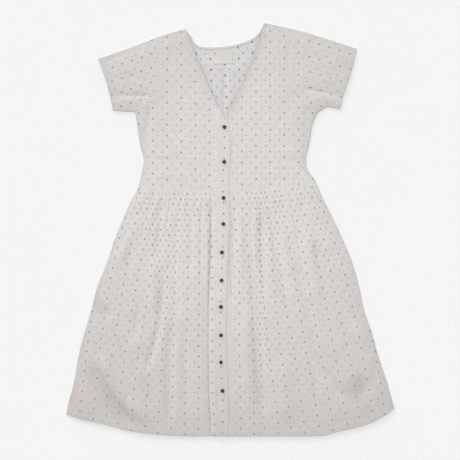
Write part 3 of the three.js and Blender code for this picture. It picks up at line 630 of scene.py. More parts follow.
def upper_band_top(x, y, sizes):
    return band_top(x, y, sizes, LAYER, upper_band_reach(sizes))


def back_under(x, y):
    """The outside of the back, which lies on the surface, with its soft folds."""
    clear = np.minimum(nearest(x, y, JOINED_EDGES) / (2 * ROLL), 1)
    waist = 0.8 * MM * np.exp(-(((y - waist_at(x)) / (1.6 * MM)) ** 2))
    hung = y < waist_at(x)
    below = np.clip((waist_at(x) - y) / (610 * MM), 0, 1)
    middle = 0.5 + 0.5 * np.sin(x / (3.1 * MM) / (1 + below) + 1.4 * np.sin(x * 47))
    gathered = np.where(hung, 0.9 * MM * middle * (1 - smooth(0, 0.3, below)), 0)
    return UNDERSIDE + clear * (np.maximum(folds_at(x, y, UNDER_FOLDS), 0) + gathered) + waist


def back_inside(x, y, sizes):
    """The inside of the back, as seen through the V, with its pressed crease."""
    pressed = folds_at(x, y, PRESSED_FOLDS) * smooth(0, 12 * MM, nearest(x, y, JOINED_EDGES))
    return back_under(x, y) + sizes.cloth + np.maximum(0.7 * MM + pressed, 0)


# Meshes

EDGE_PAINTED_SHADE = ((0.66, 2.2 * MM), (0.42, 14 * MM))     # painted shade along the cloth's edges and seams: how dark, and over what distance


def lifted(plan, z):
    """Points in plan at these heights."""
    return np.concatenate((plan, np.asarray(z)[..., None]), -1)


def laid(height, *settings):
    """A surface of this height, for what is laid on it by its place in plan."""
    return lambda p: lifted(p, height(p[:, 0], p[:, 1], *settings))


def piece(name, points, faces, materials, of_face=None, islands=None, sharp=50.0, painted_fold_shade=()):
    """A mesh object that rides on the dress's one body. Cloth gets painted shade along its edges and seams,
    and in any fold hollows it is given.
    """
    points = np.asarray(points)
    mesh = bpy.data.meshes.new(name)
    mesh.from_pydata(points.tolist(), [], [list(map(int, f)) for f in faces])
    if islands is not None:
        x, y = points[:, 0], points[:, 1]
        edge = nearest(x, y, [*JOINED_EDGES, *FREE_EDGES])
        # Painted shade: the cloth is darkened within a few millimetres of its edges and seams, where they
        # turn away from the light
        dark = sum(share * np.exp(-edge / reach) for share, reach in EDGE_PAINTED_SHADE)
        # Painted shade in the skirt's fold hollows, along the lines of the table it is given
        dark = dark + folds_at(x, y, painted_fold_shade) / MM
        mesh.attributes.new("shade", "FLOAT", "POINT").data.foreach_set("value", dark.astype(np.float32))
    for material in materials:
        mesh.materials.append(material)
    if of_face is not None:
        mesh.polygons.foreach_set("material_index", np.asarray(of_face, np.int32))
    if islands is not None:
        layer = mesh.uv_layers.new(name="OFBake")
        corner = np.empty(len(mesh.loops), np.int32)
        mesh.loops.foreach_get("vertex_index", corner)
        layer.data.foreach_set("uv", islands[corner].astype(np.float32).ravel())
    mesh.shade_smooth()
    mesh.set_sharp_from_angle(angle=math.radians(sharp))
    mesh.update()
    made = bpy.data.objects.new(name, mesh)
    bpy.context.scene.collection.objects.link(made)
    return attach(made, "root")


def grid_faces(rows, columns, start=0):
    a = (np.arange(rows - 1)[:, None] * columns + np.arange(columns - 1)[None, :]).ravel() + start
    return np.stack((a, a + columns, a + columns + 1, a + 1), -1)


def shell(name, plan, top, low, materials, painted_fold_shade=()):
    """A closed sheet between two heights over a grid in plan; the second material is for its lower face."""
    upper, lower = lifted(plan, top), lifted(plan, low)
    n, m = upper.shape[:2]
    side_u, side_v = upper[1, 0] - upper[0, 0], upper[0, 1] - upper[0, 0]
    turned = side_u[0] * side_v[1] - side_u[1] * side_v[0] < 0
    over = grid_faces(n, m)
    under = grid_faces(n, m, n * m)[:, ::-1]
    rim = np.concatenate((np.arange(n) * m, (n - 1) * m + np.arange(1, m),
                          np.arange(n - 2, -1, -1) * m + m - 1, np.arange(m - 2, 0, -1)))
    after = np.roll(rim, -1)
    wall = np.stack((after, rim, rim + n * m, after + n * m), -1)
    faces = np.vstack((over, under, wall))
    if turned:
        faces = faces[:, ::-1]
    points = np.vstack((upper.reshape(-1, 3), lower.reshape(-1, 3)))
    corner, far_corner = points[:, :2].min(0), points[:, :2].max(0)
    islands = (points[:, :2] - corner) / (far_corner - corner).max() * 0.485 + 0.005
    islands[n * m:, 0] += 0.5
    of_face = np.zeros(len(faces), np.int32)
    if len(materials) > 1:
        of_face[len(over):len(over) + len(under)] = 1
    return piece(name, points, faces, materials, of_face, islands, painted_fold_shade=painted_fold_shade)


FINE = mm((0, 0.5, 1.1, 1.9, 3.0, 4.3))[0]      # the first steps in from an edge


def steps(length, step, end=True):
    """Shares from 0 to 1, about one step apart, and closer together at the ends."""
    first = FINE / length
    last = 1 - first[::-1] if end else np.ones(1)
    count = max(int(round((last[0] - first[-1]) * length / step)), 1)
    return np.concatenate((first, np.linspace(first[-1], last[0], count + 1)[1:-1], last))


def bars(surface, centres, along, aside, rise):
    """Short raised threads on a surface. Each is a ridge, shorter than its four-cornered foot."""
    count = len(centres)
    if not count:
        return np.zeros((0, 3)), np.zeros((0, 4), int), np.zeros((0, 3), int)
    along, aside = np.broadcast_to(along, centres.shape), np.broadcast_to(aside, centres.shape)
    foot = [surface(centres + a * along + b * aside) for a, b in ((-1, -1), (1, -1), (1, 1), (-1, 1))]
    ridge = [surface(centres + a * 0.75 * along) for a in (-1, 1)]
    points = np.stack((*[f - (0, 0, 0.35 * rise) for f in foot], *[r + (0, 0, rise) for r in ridge]), 1)
    base = 6 * np.arange(count)[:, None]
    quads = np.vstack((base + (0, 1, 5, 4), base + (2, 3, 4, 5)))
    triangles = np.vstack((base + (1, 2, 5), base + (3, 0, 4)))
    if rise < 0:
        quads, triangles = quads[:, ::-1], triangles[:, ::-1]
    return points.reshape(-1, 3), quads, triangles


def threads(name, groups, materials):
    """Raised threads of several materials as one piece; each group is what bars() gives."""
    points, faces, of_face, start = [], [], [], 0
    for index, (spots, quads, triangles) in enumerate(groups):
        points.append(spots)
        faces += (quads + start).tolist() + (triangles + start).tolist()
        of_face += [index] * (len(quads) + len(triangles))
        start += len(spots)
    return piece(name, np.vstack(points), faces, materials, of_face, sharp=70.0)


STITCH_PITCH = 1.25        # from stitch to stitch, in stitches
STITCH_HALF_WIDTH = 0.32 * MM
STITCH_RISE = 0.22 * MM


def stitch_row(line, sizes, surface):
    """A row of machine stitches along a line in plan."""
    run = run_of(line)
    pitch = sizes.stitch * STITCH_PITCH
    at = np.arange(pitch, run[-1] - pitch / 2, pitch)
    centre = points_on(line, run, at)
    way = points_on(line, run, at + 0.4 * MM) - centre
    way = way / np.maximum(np.hypot(*way.T), 1e-9)[:, None]
    aside = np.stack((-way[:, 1], way[:, 0]), -1)
    return bars(surface, centre, way * sizes.stitch / 2, aside * STITCH_HALF_WIDTH, STITCH_RISE)


def merged(groups):
    """Several groups of threads as one."""
    points, quads, triangles, start = [], [], [], 0
    for p, q, t in groups:
        points.append(p)
        quads.append(q + start)
        triangles.append(t + start)
        start += len(p)
    return np.vstack(points), np.vstack(quads), np.vstack(triangles)


def beside(line, distance):
    """A line moved sideways to its left."""
    way = np.gradient(line, axis=0)
    way = way / np.hypot(*way.T)[:, None]
    return line + distance * np.stack((-way[:, 1], way[:, 0]), -1)


def lattice(start, across_columns, along_column, reach):
    """Centres and colour numbers of a half-drop repeat: teal, pale pink, coral, column by column."""
    found, number = [], []
    for c in range(-reach[0], reach[0] + 1):
        for r in range(-reach[1], reach[1] + 1):
            found.append(start + c * across_columns + (r + 0.5 * (c % 2)) * along_column)
            number.append(c % 3)
    return np.array(found), np.array(number)


# Every third column of a skirt's spots, the teal one, from the bands out: x at each of these heights. The
# gathers draw the columns together at the waist, and here and there one goes under a fold.
COLUMN_HEIGHTS = mm((74, -13, -101, -188, -288, -388, -488))[0]
LEFT_COLUMNS = mm(
    (-62, -47, -46, -46, -46, -46, -40), (-84, -75, -78, -79, -80, -79, -81),
    (-108, -107, -107, -107, -111, -112, -115), (-124, -131, -138, -141, -142, -144, -148),
    (-141, -153, -157, -159, -169, -174, -182), (-172, -175, -177, -181, -196, -206, -214),
    (-195, -194, -197, -211, -227, -240, -248), (-208, -212, -228, -244, -261, -274, -282),
    (-227, -243, -261, -276, -292, -308, -311), (-250, -275, -296, -311, -325, -336, -345),
    (-276, -307, -326, -343, -357, -369, -380), (-300, -340, -356, -374, -386, -400, -413),
)
RIGHT_COLUMNS = mm(
    (8, 14, 22, 23, 23, 24, 26), (41, 40, 48, 54, 58, 59, 59), (61, 71, 74, 74, 74, 78, 85),
    (76, 75, 78, 84, 94, 107, 120), (91, 97, 105, 113, 124, 137, 151), (111, 119, 126, 137, 157, 170, 185),
    (128, 144, 157, 171, 186, 205, 221), (155, 174, 190, 204, 221, 241, 256),
    (175, 201, 224, 238, 257, 275, 292), (204, 230, 250, 267, 291, 310, 325),
    (224, 253, 284, 304, 326, 345, 360), (247, 282, 314, 332, 359, 376, 389),
    (269, 309, 344, 362, 389, 404, 419),
)
# Each skirt's chart, its side, the height of one teal spot, and how the rows bend up at the waist and the hem
LEFT_SPOTS = (LEFT_COLUMNS, -1, -408.6 * MM, (0.006 * MM, 0.037 * MM))
RIGHT_SPOTS = (RIGHT_COLUMNS, 1, -419.3 * MM, (0.021 * MM, 0.021 * MM))
BACK_SPOTS = ((RIGHT_COLUMNS, -1, -404 * MM, (0.02 * MM, 0.02 * MM)),
              (RIGHT_COLUMNS, 1, -417 * MM, (0.02 * MM, 0.02 * MM)))
# Where two charted columns are no further apart than this, the two between them are under a fold
CROWDED = 5.4 * MM


def skirt_lattice(chart, side, start, bend, sizes):
    """The same repeat on a gathered skirt, from the bands out to one side, as its chart says."""
    drop = 0.955 * sizes.spot_along
    known = 3 * np.arange(len(chart))
    chart = chart * (1 if chart[0, 0] * side > 0 else -1)
    found, number = [], []
    for c in range(-2, known[-1] + 1):
        for r in range(-6, 24):
            y = start + (r + 0.5 * (c % 2)) * drop
            y += c * c * np.interp(y, COLUMN_HEIGHTS[[-1, 0]], bend[::-1])
            at = np.array([np.interp(-y, -COLUMN_HEIGHTS, row) for row in chart])
            x = np.interp(c, known, at) + min(c, 0) * side * 0.95 * sizes.spot_across
            near = min(max(c, 0) // 3, len(chart) - 2)
            if c % 3 == 0 or abs(at[near + 1] - at[near]) > CROWDED:
                found.append((x, y))
                number.append(side * c % 3)
    return np.array(found), np.array(number)


def shares_of(place, points):
    """The shares u and v of a patch at which given points lie."""
    u, v = np.full(len(points), 0.5), np.full(len(points), 0.5)
    tiny = 1e-4
    for _ in range(9):
        here = place(u, v)
        by_u = (place(u + tiny, v) - here) / tiny
        by_v = (place(u, v + tiny) - here) / tiny
        off = points - here
        size = by_u[:, 0] * by_v[:, 1] - by_u[:, 1] * by_v[:, 0]
        u = np.clip(u + (off[:, 0] * by_v[:, 1] - off[:, 1] * by_v[:, 0]) / size, 0, 1)
        v = np.clip(v + (by_u[:, 0] * off[:, 1] - by_u[:, 1] * off[:, 0]) / size, 0, 1)
    return u, v


def inside(points, outline, margin):
    """Which points lie within an outline and clear of it."""
    x, y = points.T
    within = np.zeros(len(points), bool)
    for (x0, y0), (x1, y1) in zip(outline, np.roll(outline, -1, 0)):
        crosses = (y0 > y) != (y1 > y)
        with np.errstate(divide="ignore", invalid="ignore"):
            within ^= crosses & (x < (x1 - x0) * (y - y0) / (y1 - y0) + x0)
    closed = np.vstack((outline, outline[:1]))
    return within & (nearest(x, y, (closed,)) > margin)


def woven_spots(name, surface, centres, number, along, aside, rise, materials):
    """Woven spots of three colours. Each is three floats of thread beside one another."""
    groups = []
    for colour_number in range(3):
        chosen = centres[number == colour_number]
        rows = []
        for offset, size in ((-0.66, 0.66), (0.0, 1.0), (0.66, 0.72)):
            rows.append(bars(surface, chosen + offset * aside, along * size, aside * 0.36, rise))
        groups.append(merged(rows))
    return threads(name, groups, materials)


# Materials


class Value:
    """An output of a material's nodes that arithmetic can be written on."""

    def __init__(self, finish, socket):
        self.finish, self.socket = finish, socket

    def _math(self, operation, other):
        return self.finish.node("ShaderNodeMath", {"operation": operation}, {0: self, 1: other})

    def __add__(self, other):
        return self._math("ADD", other)

    def __mul__(self, other):
        return self._math("MULTIPLY", other)


class Finish:
    """A material with one Principled shader, and one method that adds any other node."""

    def __init__(self, name, **constants):
        self.material = bpy.data.materials.new(name)
        self.material.use_nodes = True
        self.tree = self.material.node_tree
        self.shader = self.tree.nodes["Principled BSDF"]
        for socket, value in constants.items():
            self.shader.inputs[socket.replace("_", " ")].default_value = value

    def node(self, kind, settings=None, inputs=None, output=0):
        made = self.tree.nodes.new(kind)
        for key, value in (settings or {}).items():
            if key == "stops":
                ramp = made.color_ramp
                while len(ramp.elements) < len(value):
                    ramp.elements.new(1.0)
                for element, (position, stop) in zip(ramp.elements, value):
                    element.position, element.color = position, stop
            else:
                setattr(made, key, value)
        for key, value in (inputs or {}).items():
            if isinstance(value, Value):
                self.tree.links.new(value.socket, made.inputs[key])
            else:
                made.inputs[key].default_value = value
        return Value(self, made.outputs[output])

    def mix(self, factor, first, second):
        """Two colours mixed, through the node's sockets for colours."""
        return self.node("ShaderNodeMix", {"data_type": "RGBA"}, {0: factor, 6: first, 7: second}, 2)

    def set(self, socket, value):
        self.tree.links.new(value.socket, self.shader.inputs[socket])

    def place(self):
        """The place on the dress itself, in metres: the node's object coordinates."""
        return self.node("ShaderNodeTexCoord", output=3)

    def stretched(self, scale):
        return self.node("ShaderNodeMapping", None, {0: self.place(), 3: scale})

    def noise(self, scale, detail=3.0, vector=None):
        return self.node("ShaderNodeTexNoise", None,
                         {"Vector": vector or self.place(), "Scale": scale, "Detail": detail})

    def range(self, value, start, end, low, high):
        """A value carried from one range to another, and kept within it."""
        return self.node("ShaderNodeMapRange", None, {0: value, 1: start, 2: end, 3: low, 4: high})

    def bump(self, height, strength, distance, **more):
        return self.node("ShaderNodeBump", None,
                         {"Strength": strength, "Distance": distance, "Height": height, **more})

    def waves(self, direction, scale, distortion, **more):
        return self.node("ShaderNodeTexWave", {"bands_direction": direction},
                         {"Vector": self.place(), "Scale": scale, "Distortion": distortion, **more})

    def from_point(self, point):
        """The distance from a point of the dress."""
        return self.node("ShaderNodeVectorMath", {"operation": "DISTANCE"},
                         {0: self.place(), 1: point}, "Value")


def rgba(value, share=1.0):
    return (value[0] * share, value[1] * share, value[2] * share, 1.0)


def cotton(name, base, underarm=None, low=None):
    """Plain-woven cotton with slightly uneven yarns; where a colour for it is given, painted shade darkens it
    towards the hem, most at the skirt's lower corners.
    """
    finish = Finish(name, Sheen_Weight=0.12, Sheen_Roughness=0.6, Specular_IOR_Level=0.25)
    slub_across = finish.noise(1.0, 4.0, finish.stretched((90.0, 1500.0, 90.0)))
    slub_down = finish.noise(1.0, 4.0, finish.stretched((1500.0, 90.0, 90.0)))
    mottle = finish.noise(260.0, 2.0)
    yarn = finish.range(slub_across * 0.5 + slub_down * 0.5, 0.36, 0.64, 0.0, 1.0)
    uneven = yarn * 0.55 + finish.range(mottle, 0.35, 0.65, 0.0, 1.0) * 0.45
    tone = finish.mix(uneven, rgba(base, 0.9), rgba(base, 1.085))
    if underarm is not None:
        armpit_y, *armpit_xs = SIDES[0]
        for armpit_x in armpit_xs:
            away = finish.from_point((armpit_x, armpit_y, 0.0))
            tone = finish.mix(finish.range(away, 0.03, 0.12, 0.5, 0.0), tone, rgba(underarm))
    # Painted shade: the colour darkens with distance from the waist's middle, towards the hem and the skirt's
    # lower corners
    if low is not None:
        waist_centre = (0.0, 0.1, 0.0)
        away = finish.from_point(waist_centre)
        tone = finish.mix(finish.range(away, 0.22, 0.70, 0.0, 1.0), tone, rgba(low))
    # Painted shade: the shade attribute darkens the colour along edges and seams and in fold hollows
    shade = finish.node("ShaderNodeAttribute", {"attribute_name": "shade"}, output="Fac")
    finish.set("Base Color", finish.mix(shade * 0.5, tone, rgba(base, 0.66)))
    finish.set("Roughness", finish.range(slub_down, 0.3, 0.7, 0.82, 0.95))
    warp, weft = (finish.waves(way, 330.0, 0.6, **{"Detail Scale": 2.0}) for way in "XY")
    weave = finish.bump(warp * weft, 0.35, 0.00012)
    crumple = finish.noise(85.0, 6.0)
    finish.set("Normal", finish.bump(crumple + yarn * 0.25, 0.5, 0.002, Normal=weave))
    return finish.material


def thread(name, base, gloss=0.55):
    """Twisted thread."""
    finish = Finish(name, Sheen_Weight=0.2, Specular_IOR_Level=0.35)
    twist = finish.waves("DIAGONAL", 900.0, 1.0)
    finish.set("Base Color", finish.mix(twist, rgba(base, 0.86), rgba(base, 1.1)))
    finish.set("Roughness", finish.range(twist, 0.0, 1.0, gloss, gloss + 0.2))
    finish.set("Normal", finish.bump(twist, 0.4, 0.0001))
    return finish.material


def woven_tape(name, base):
    """Close, smooth label tape, cut and folded at its edges."""
    finish = Finish(name, Sheen_Weight=0.2, Specular_IOR_Level=0.4)
    ribs = finish.waves("Y", 420.0, 0.4)
    mottle = finish.noise(160.0, 3.0)
    finish.set("Base Color", finish.mix(mottle, rgba(base, 0.94), rgba(base, 1.05)))
    finish.set("Roughness", finish.range(ribs, 0.0, 1.0, 0.6, 0.75))
    finish.set("Normal", finish.bump(ribs * 0.6 + mottle * 0.8, 0.4, 0.00012))
    return finish.material


def horn(name, base):
    """Polished dark brown button, with a slightly clouded grain."""
    finish = Finish(name, Coat_Roughness=0.3, Specular_IOR_Level=0.15)
    cloud = finish.noise(420.0, 5.0, finish.stretched((1.0, 2.6, 1.0)))
    tone = finish.node("ShaderNodeValToRGB", {"stops": (
        (0.3, rgba(base, 0.55)), (0.52, rgba(base)), (0.72, rgba(base, 2.1)))}, {0: cloud})
    finish.set("Base Color", tone)
    finish.set("Roughness", finish.range(cloud, 0.3, 0.7, 0.42, 0.55))
    finish.set("Coat Weight", finish.range(cloud, 0.3, 0.7, 0.08, 0.03))
    finish.set("Normal", finish.bump(finish.noise(1500.0, 2.0), 0.12, 0.00008))
    return finish.material


def dark(name, base):
    """Painted shade for the inside of a button's holes: near-black flat discs."""
    finish = Finish(name)
    finish.set("Base Color", finish.mix(finish.noise(900.0), rgba(base, 0.12), rgba(base, 0.2)))
    finish.set("Roughness", finish.range(finish.noise(700.0), 0.0, 1.0, 0.7, 0.9))
    return finish.material


def materials():
    """The dress's materials, made once."""
    known = bpy.data.materials
    if "Cotton" not in known:
        colours = bpy.context.scene.dress_colours
        cotton("Cotton", colours.face, colours.underarm, colours.low)
        cotton("Cotton reverse", colours.reverse)
        cotton("Binding cotton", colours.binding)
        woven_tape("Label tape", colours.label)
        for name, key in (("Teal thread", "teal"), ("Pale pink thread", "pink"), ("Coral thread", "coral")):
            thread(name, getattr(colours, key))
            thread(name + " inside", getattr(colours, key + "_reverse"))
        thread("Sewing thread", colours.thread, 0.7)
        thread("Button thread", colours.button_thread, 0.7)
        horn("Button horn", colours.button)
        dark("Button holes", colours.button)
    return known


def finishes(*names):
    known = materials()
    return [known[name] for name in names]


def spot_materials(side=""):
    return finishes(*(name + side for name in ("Teal thread", "Pale pink thread", "Coral thread")))


# Panels

ARMPIT_SHARE = 10 / 19     # the armpit's place down a bodice's side, and the foot of the V's down its front
SKIRT_LENGTH = 0.61        # about how far a skirt's panel reaches down
GAP = 0.1 * MM             # how far a sleeve stands clear of the bodice


def side_name(left):
    return "left" if left else "right"


def band_middle(sizes, y):
    return lap_at(y) - sizes.band_width / 2


def waist_middle():
    return waist_at(lap_at(WAIST[0, 1]))


def hem_middle():
    return hem_at(lap_at(LEFT_HEM_CORNER[1]))


def bodice_side(left):
    """The armhole and the side below it, down to the waist."""
    if left:
        return joined(curve(LEFT_ARMHOLE), down(left_side_at, ARMPIT_Y, WAIST[0, 1]), ARMPIT_SHARE)
    return joined(curve(RIGHT_ARMHOLE), down(right_side_at, ARMPIT_Y, WAIST[-1, 1]), ARMPIT_SHARE)


def skirt_side(left):
    if left:
        return side_seam(left_side_at, WAIST[0, 1], LEFT_HEM_CORNER)
    return side_seam(right_side_at, WAIST[-1, 1], RIGHT_HEM_CORNER)


def bodice_edges(left, sizes):
    """Shoulder, waist, band side and armhole side of a front."""
    foot = waist_middle()
    if left:
        inner = joined(curve(LEFT_V), down(lap_at, OVER_BAND_TOP[0], foot, -sizes.band_width), ARMPIT_SHARE)
    else:
        inner = joined(curve(RIGHT_V), down(lap_at, UNDER_BAND_TOP[1], foot, -BAND_TUCK), ARMPIT_SHARE)
    outer = bodice_side(left)
    waist = across(waist_at, inner(1.0)[0], outer(1.0)[0])
    return curve(LEFT_SHOULDER if left else RIGHT_SHOULDER), waist, inner, outer


def skirt_edges(left, sizes):
    """Waist, hem, band side and outer side of a front of the skirt."""
    inner = down(lap_at, waist_middle(), hem_middle(), -sizes.band_width if left else -BAND_TUCK)
    outer = skirt_side(left)
    waist = across(waist_at, inner(0.0)[0], outer(0.0)[0])
    hem = across(hem_at, inner(1.0)[0], outer(1.0)[0])
    return waist, hem, inner, outer


def back_skirt_edges():
    left, right = skirt_side(True), skirt_side(False)
    return (across(waist_at, left(0.0)[0], right(0.0)[0]), across(hem_at, left(1.0)[0], right(1.0)[0]),
            left, right)


def outline_of(edges):
    """An outline in plan from a panel's top, bottom, first and second edges."""
    t = np.linspace(0, 1, 60)
    top, bottom, first, second = edges
    return np.vstack((top(t), second(t), bottom(t)[::-1], first(t)[::-1]))


def front_bodice(left):
    sizes = bpy.context.scene.dress_sizes
    edges = bodice_edges(left, sizes)
    u, v = np.meshgrid(steps(0.2, 3 * MM), steps(0.38, 3 * MM), indexing="ij")
    plan = patch(*edges)(u, v)
    top = bodice_top(plan[..., 0], plan[..., 1], sizes, left)
    side = side_name(left)
    made = shell(f"bodice_{side}", plan, top, top - sizes.cloth, finishes("Cotton", "Cotton reverse"))
    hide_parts(f"front_bodice_{side}")
    return made


# The left skirt's grid has closer columns along its sharp crease, about this share of the way out
CREASE_COLUMN = 0.06
CREASE_STEPS = mm((-3.6, -2.4, -1.5, -0.8, -0.3, 0, 0.3, 0.8, 1.5, 2.4, 3.6))[0]


def front_skirt(left):
    sizes = bpy.context.scene.dress_sizes
    edges = skirt_edges(left, sizes)
    width = 0.3
    at = steps(width, 2.05 * MM)
    if left:
        clear = np.abs(at - CREASE_COLUMN) > 0.014
        at = np.sort(np.concatenate((at[clear], CREASE_COLUMN + CREASE_STEPS / width)))
    u, v = np.meshgrid(at, steps(SKIRT_LENGTH, 4.2 * MM), indexing="ij")
    if left:
        inner, outer = edges[2](v), edges[3](v)
        crease = (inner[..., 0] - crease_at(inner[..., 1])) / (inner[..., 0] - outer[..., 0])
        u = np.where(u < CREASE_COLUMN, u / CREASE_COLUMN * crease,
                     crease + (u - CREASE_COLUMN) / (1 - CREASE_COLUMN) * (1 - crease))
    plan = patch(*edges)(u, v)
    top = skirt_top(plan[..., 0], plan[..., 1], u, v, sizes, left)
    if left:
        plan = tucked(plan[..., 0], plan[..., 1])
    side = side_name(left)
    made = shell(f"skirt_{side}", plan, top, top - sizes.cloth, finishes("Cotton", "Cotton reverse"),
                 painted_fold_shade=PAINTED_FOLD_SHADE_PLACES)
    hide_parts(f"front_skirt_{side}")
    return made


def back_bodice():
    sizes = bpy.context.scene.dress_sizes
    top = joined(backwards(curve(LEFT_SHOULDER)),
                 joined(curve(BACK_NECK), curve(RIGHT_SHOULDER), 10 / 12), 2 / 14)
    left, right = bodice_side(True), bodice_side(False)
    waist = across(waist_at, left(1.0)[0], right(1.0)[0])
    behind_v = np.linspace(0.44, 0.6, 55)
    across_back = np.unique(np.concatenate((steps(0.42, 3.4 * MM), behind_v)))
    u, v = np.meshgrid(across_back, steps(0.38, 3.6 * MM), indexing="ij")
    plan = patch(top, waist, left, right)(u, v)
    x, y = plan[..., 0], plan[..., 1]
    made = shell("back_bodice_cloth", plan, back_inside(x, y, sizes), back_under(x, y),
                 finishes("Cotton reverse", "Cotton"))
    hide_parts("back_bodice")
    return made


def back_skirt():
    sizes = bpy.context.scene.dress_sizes
    u, v = np.meshgrid(steps(0.7, 3.2 * MM), steps(SKIRT_LENGTH, 6 * MM), indexing="ij")
    plan = patch(*back_skirt_edges())(u, v)
    under = back_under(plan[..., 0], plan[..., 1])
    made = shell("back_skirt_cloth", plan, under + sizes.cloth, under, finishes("Cotton reverse", "Cotton"))
    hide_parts("back_skirt")
    return made


def sleeve_edges(left):
    if left:
        return curve(LEFT_SLEEVE_TOP), curve(LEFT_UNDERARM), curve(LEFT_ARMHOLE), curve(LEFT_CUFF)
    return curve(RIGHT_SLEEVE_TOP), curve(RIGHT_UNDERARM), curve(RIGHT_ARMHOLE), curve(RIGHT_CUFF)


def sleeve(left):
    """A sleeve as a flat tube, rolled at its top and underarm and open at both ends."""
    sizes = bpy.context.scene.dress_sizes
    top, low, armhole, cuff = sleeve_edges(left)
    place = patch(top, low, moved(armhole, -GAP if left else GAP), cuff)
    along, around = steps(0.12, 2.8 * MM), steps(0.16, 2.8 * MM)
    inset = sizes.cloth / 0.15         # the cloth's thickness as a share of the sleeve's width
    rings = []
    for inner in (False, True):
        share = inset + around * (1 - 2 * inset) if inner else around
        u, v = np.meshgrid(along, share, indexing="ij")
        plan = place(u, v)
        x, y = plan[..., 0], plan[..., 1]
        over, under = sleeve_top(x, y, sizes), back_under(x, y)
        if inner:
            over, under = over - sizes.cloth, under + sizes.cloth
        rings.append(np.concatenate((lifted(plan, over), lifted(plan, under)[:, ::-1]), 1))
    outer, inner = rings
    n, m = outer.shape[:2]
    points = np.vstack((outer.reshape(-1, 3), inner.reshape(-1, 3)))
    k = np.arange(m)
    after = (k + 1) % m
    last = (n - 1) * m
    walls = np.arange(n - 1)[:, None] * m
    outer_wall = np.stack((walls + k, walls + after, walls + m + after, walls + m + k), -1).reshape(-1, 4)
    inner_wall = outer_wall[:, [1, 0, 3, 2]] + n * m
    armhole_rim = np.stack((k, k + n * m, after + n * m, after), -1)
    cuff_rim = np.stack((last + after, last + after + n * m, last + k + n * m, last + k), -1)
    faces = np.vstack((outer_wall, inner_wall, armhole_rim, cuff_rim))
    of_face = np.repeat((0, 1, 0), (len(outer_wall), len(inner_wall), 2 * m))
    if not left:
        faces = faces[:, ::-1]
    girth = run_of(outer[n // 2, :, :2]) / 0.34        # a little more than the way round
    islands = np.stack(np.broadcast_arrays(np.repeat(along * 0.4, m), np.tile(girth, n)), -1)
    islands = np.clip(np.vstack((islands, islands + (0.5, 0))), 0, 1) * 0.98 + 0.005
    side = side_name(left)
    made = piece(f"sleeve_{side}_cloth", points, faces, finishes("Cotton", "Cotton reverse"), of_face,
                 islands)
    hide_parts(f"sleeve_{side}")
    return made


def band(name, node, reach, tops, lift, thick):
    """A button band, cut off at its top by the V."""
    sizes = bpy.context.scene.dress_sizes
    width = reach[1] - reach[0]
    u, v = np.meshgrid(steps(width, 2.4 * MM), steps(0.8, 3.2 * MM, end=False), indexing="ij")
    aside = reach[0] + u * width
    cut = tops[0] + (tops[1] - tops[0]) * u
    if name == "upper_band":
        cut = cut - 4 * MM * np.sin(math.pi * u) * (u > 0.4)
    y = cut + (hem_middle() - cut) * v**1.02
    x = lap_at(y) + aside
    top = band_top(x, y, sizes, lift, reach)
    made = shell(name, np.stack((x, y), -1), top, top - thick, finishes("Cotton"))
    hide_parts(node)
    return made


# Operators


class DRESS_OT_back(bpy.types.Operator):
    """Makes the back of the bodice and the back of the skirt"""

    bl_idname = "dress.back"
    bl_label = "Back"

    def execute(self, context):
        back_bodice()
        back_skirt()
        return {"FINISHED"}


class DRESS_OT_front_bodice(bpy.types.Operator):
    """Makes the two fronts of the bodice"""

    bl_idname = "dress.front_bodice"
    bl_label = "Bodice fronts"

    def execute(self, context):
        for left in (True, False):
            front_bodice(left)
        return {"FINISHED"}


class DRESS_OT_front_skirt(bpy.types.Operator):
    """Makes the two gathered fronts of the skirt"""

    bl_idname = "dress.front_skirt"
    bl_label = "Skirt fronts"

    def execute(self, context):
        for left in (True, False):
            front_skirt(left)
        return {"FINISHED"}


class DRESS_OT_sleeves(bpy.types.Operator):
    """Makes the two sleeves"""

    bl_idname = "dress.sleeves"
    bl_label = "Sleeves"

    def execute(self, context):
        for left in (True, False):
            sleeve(left)
        return {"FINISHED"}


class DRESS_OT_bands(bpy.types.Operator):
    """Makes the two button bands"""

    bl_idname = "dress.bands"
    bl_label = "Button bands"

    def execute(self, context):
        sizes = context.scene.dress_sizes
        under = band("lower_band", "placket_under", (-sizes.band_width + 0.5 * MM, -BAND_TUCK - 0.2 * MM),
                     UNDER_BAND_TOP, 0.0, 2 * sizes.cloth)
        over = band("upper_band", "placket_over", upper_band_reach(sizes), OVER_BAND_TOP, LAYER,
                    2 * sizes.cloth)
        return {"FINISHED"}


class DRESS_OT_binding(bpy.types.Operator):
    """Makes the strip inside the back neck"""

    bl_idname = "dress.binding"
    bl_label = "Neck binding"

    def execute(self, context):
        sizes = context.scene.dress_sizes
        neck = curve(BACK_NECK)
        us = np.linspace(*BINDING_ENDS, 130)
        line = neck(us)
        way = neck(us + 1e-3) - neck(us - 1e-3)
        inward = np.stack((way[:, 1], -way[:, 0]), -1) / np.hypot(*way.T)[:, None]
        vs = np.array((0, 0.06, 0.14, 0.3, 0.5, 0.7, 0.86, 0.94, 1.0))
        plan = line[:, None] + inward[:, None] * (vs * sizes.binding)[None, :, None]
        x, y = plan[..., 0], plan[..., 1]
        puffed = 0.55 * MM * np.sqrt(1 - (2 * vs - 1) ** 4)[None, :]
        base = back_inside(x, y, sizes) + 0.08 * MM
        ripple = 0.1 * MM * np.sin(us * 160)[:, None]
        top = base + 0.25 * MM + puffed + ripple
        made = shell("neck_strip", plan, top, base, finishes("Binding cotton"))
        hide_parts("neck_binding")
        return {"FINISHED"}


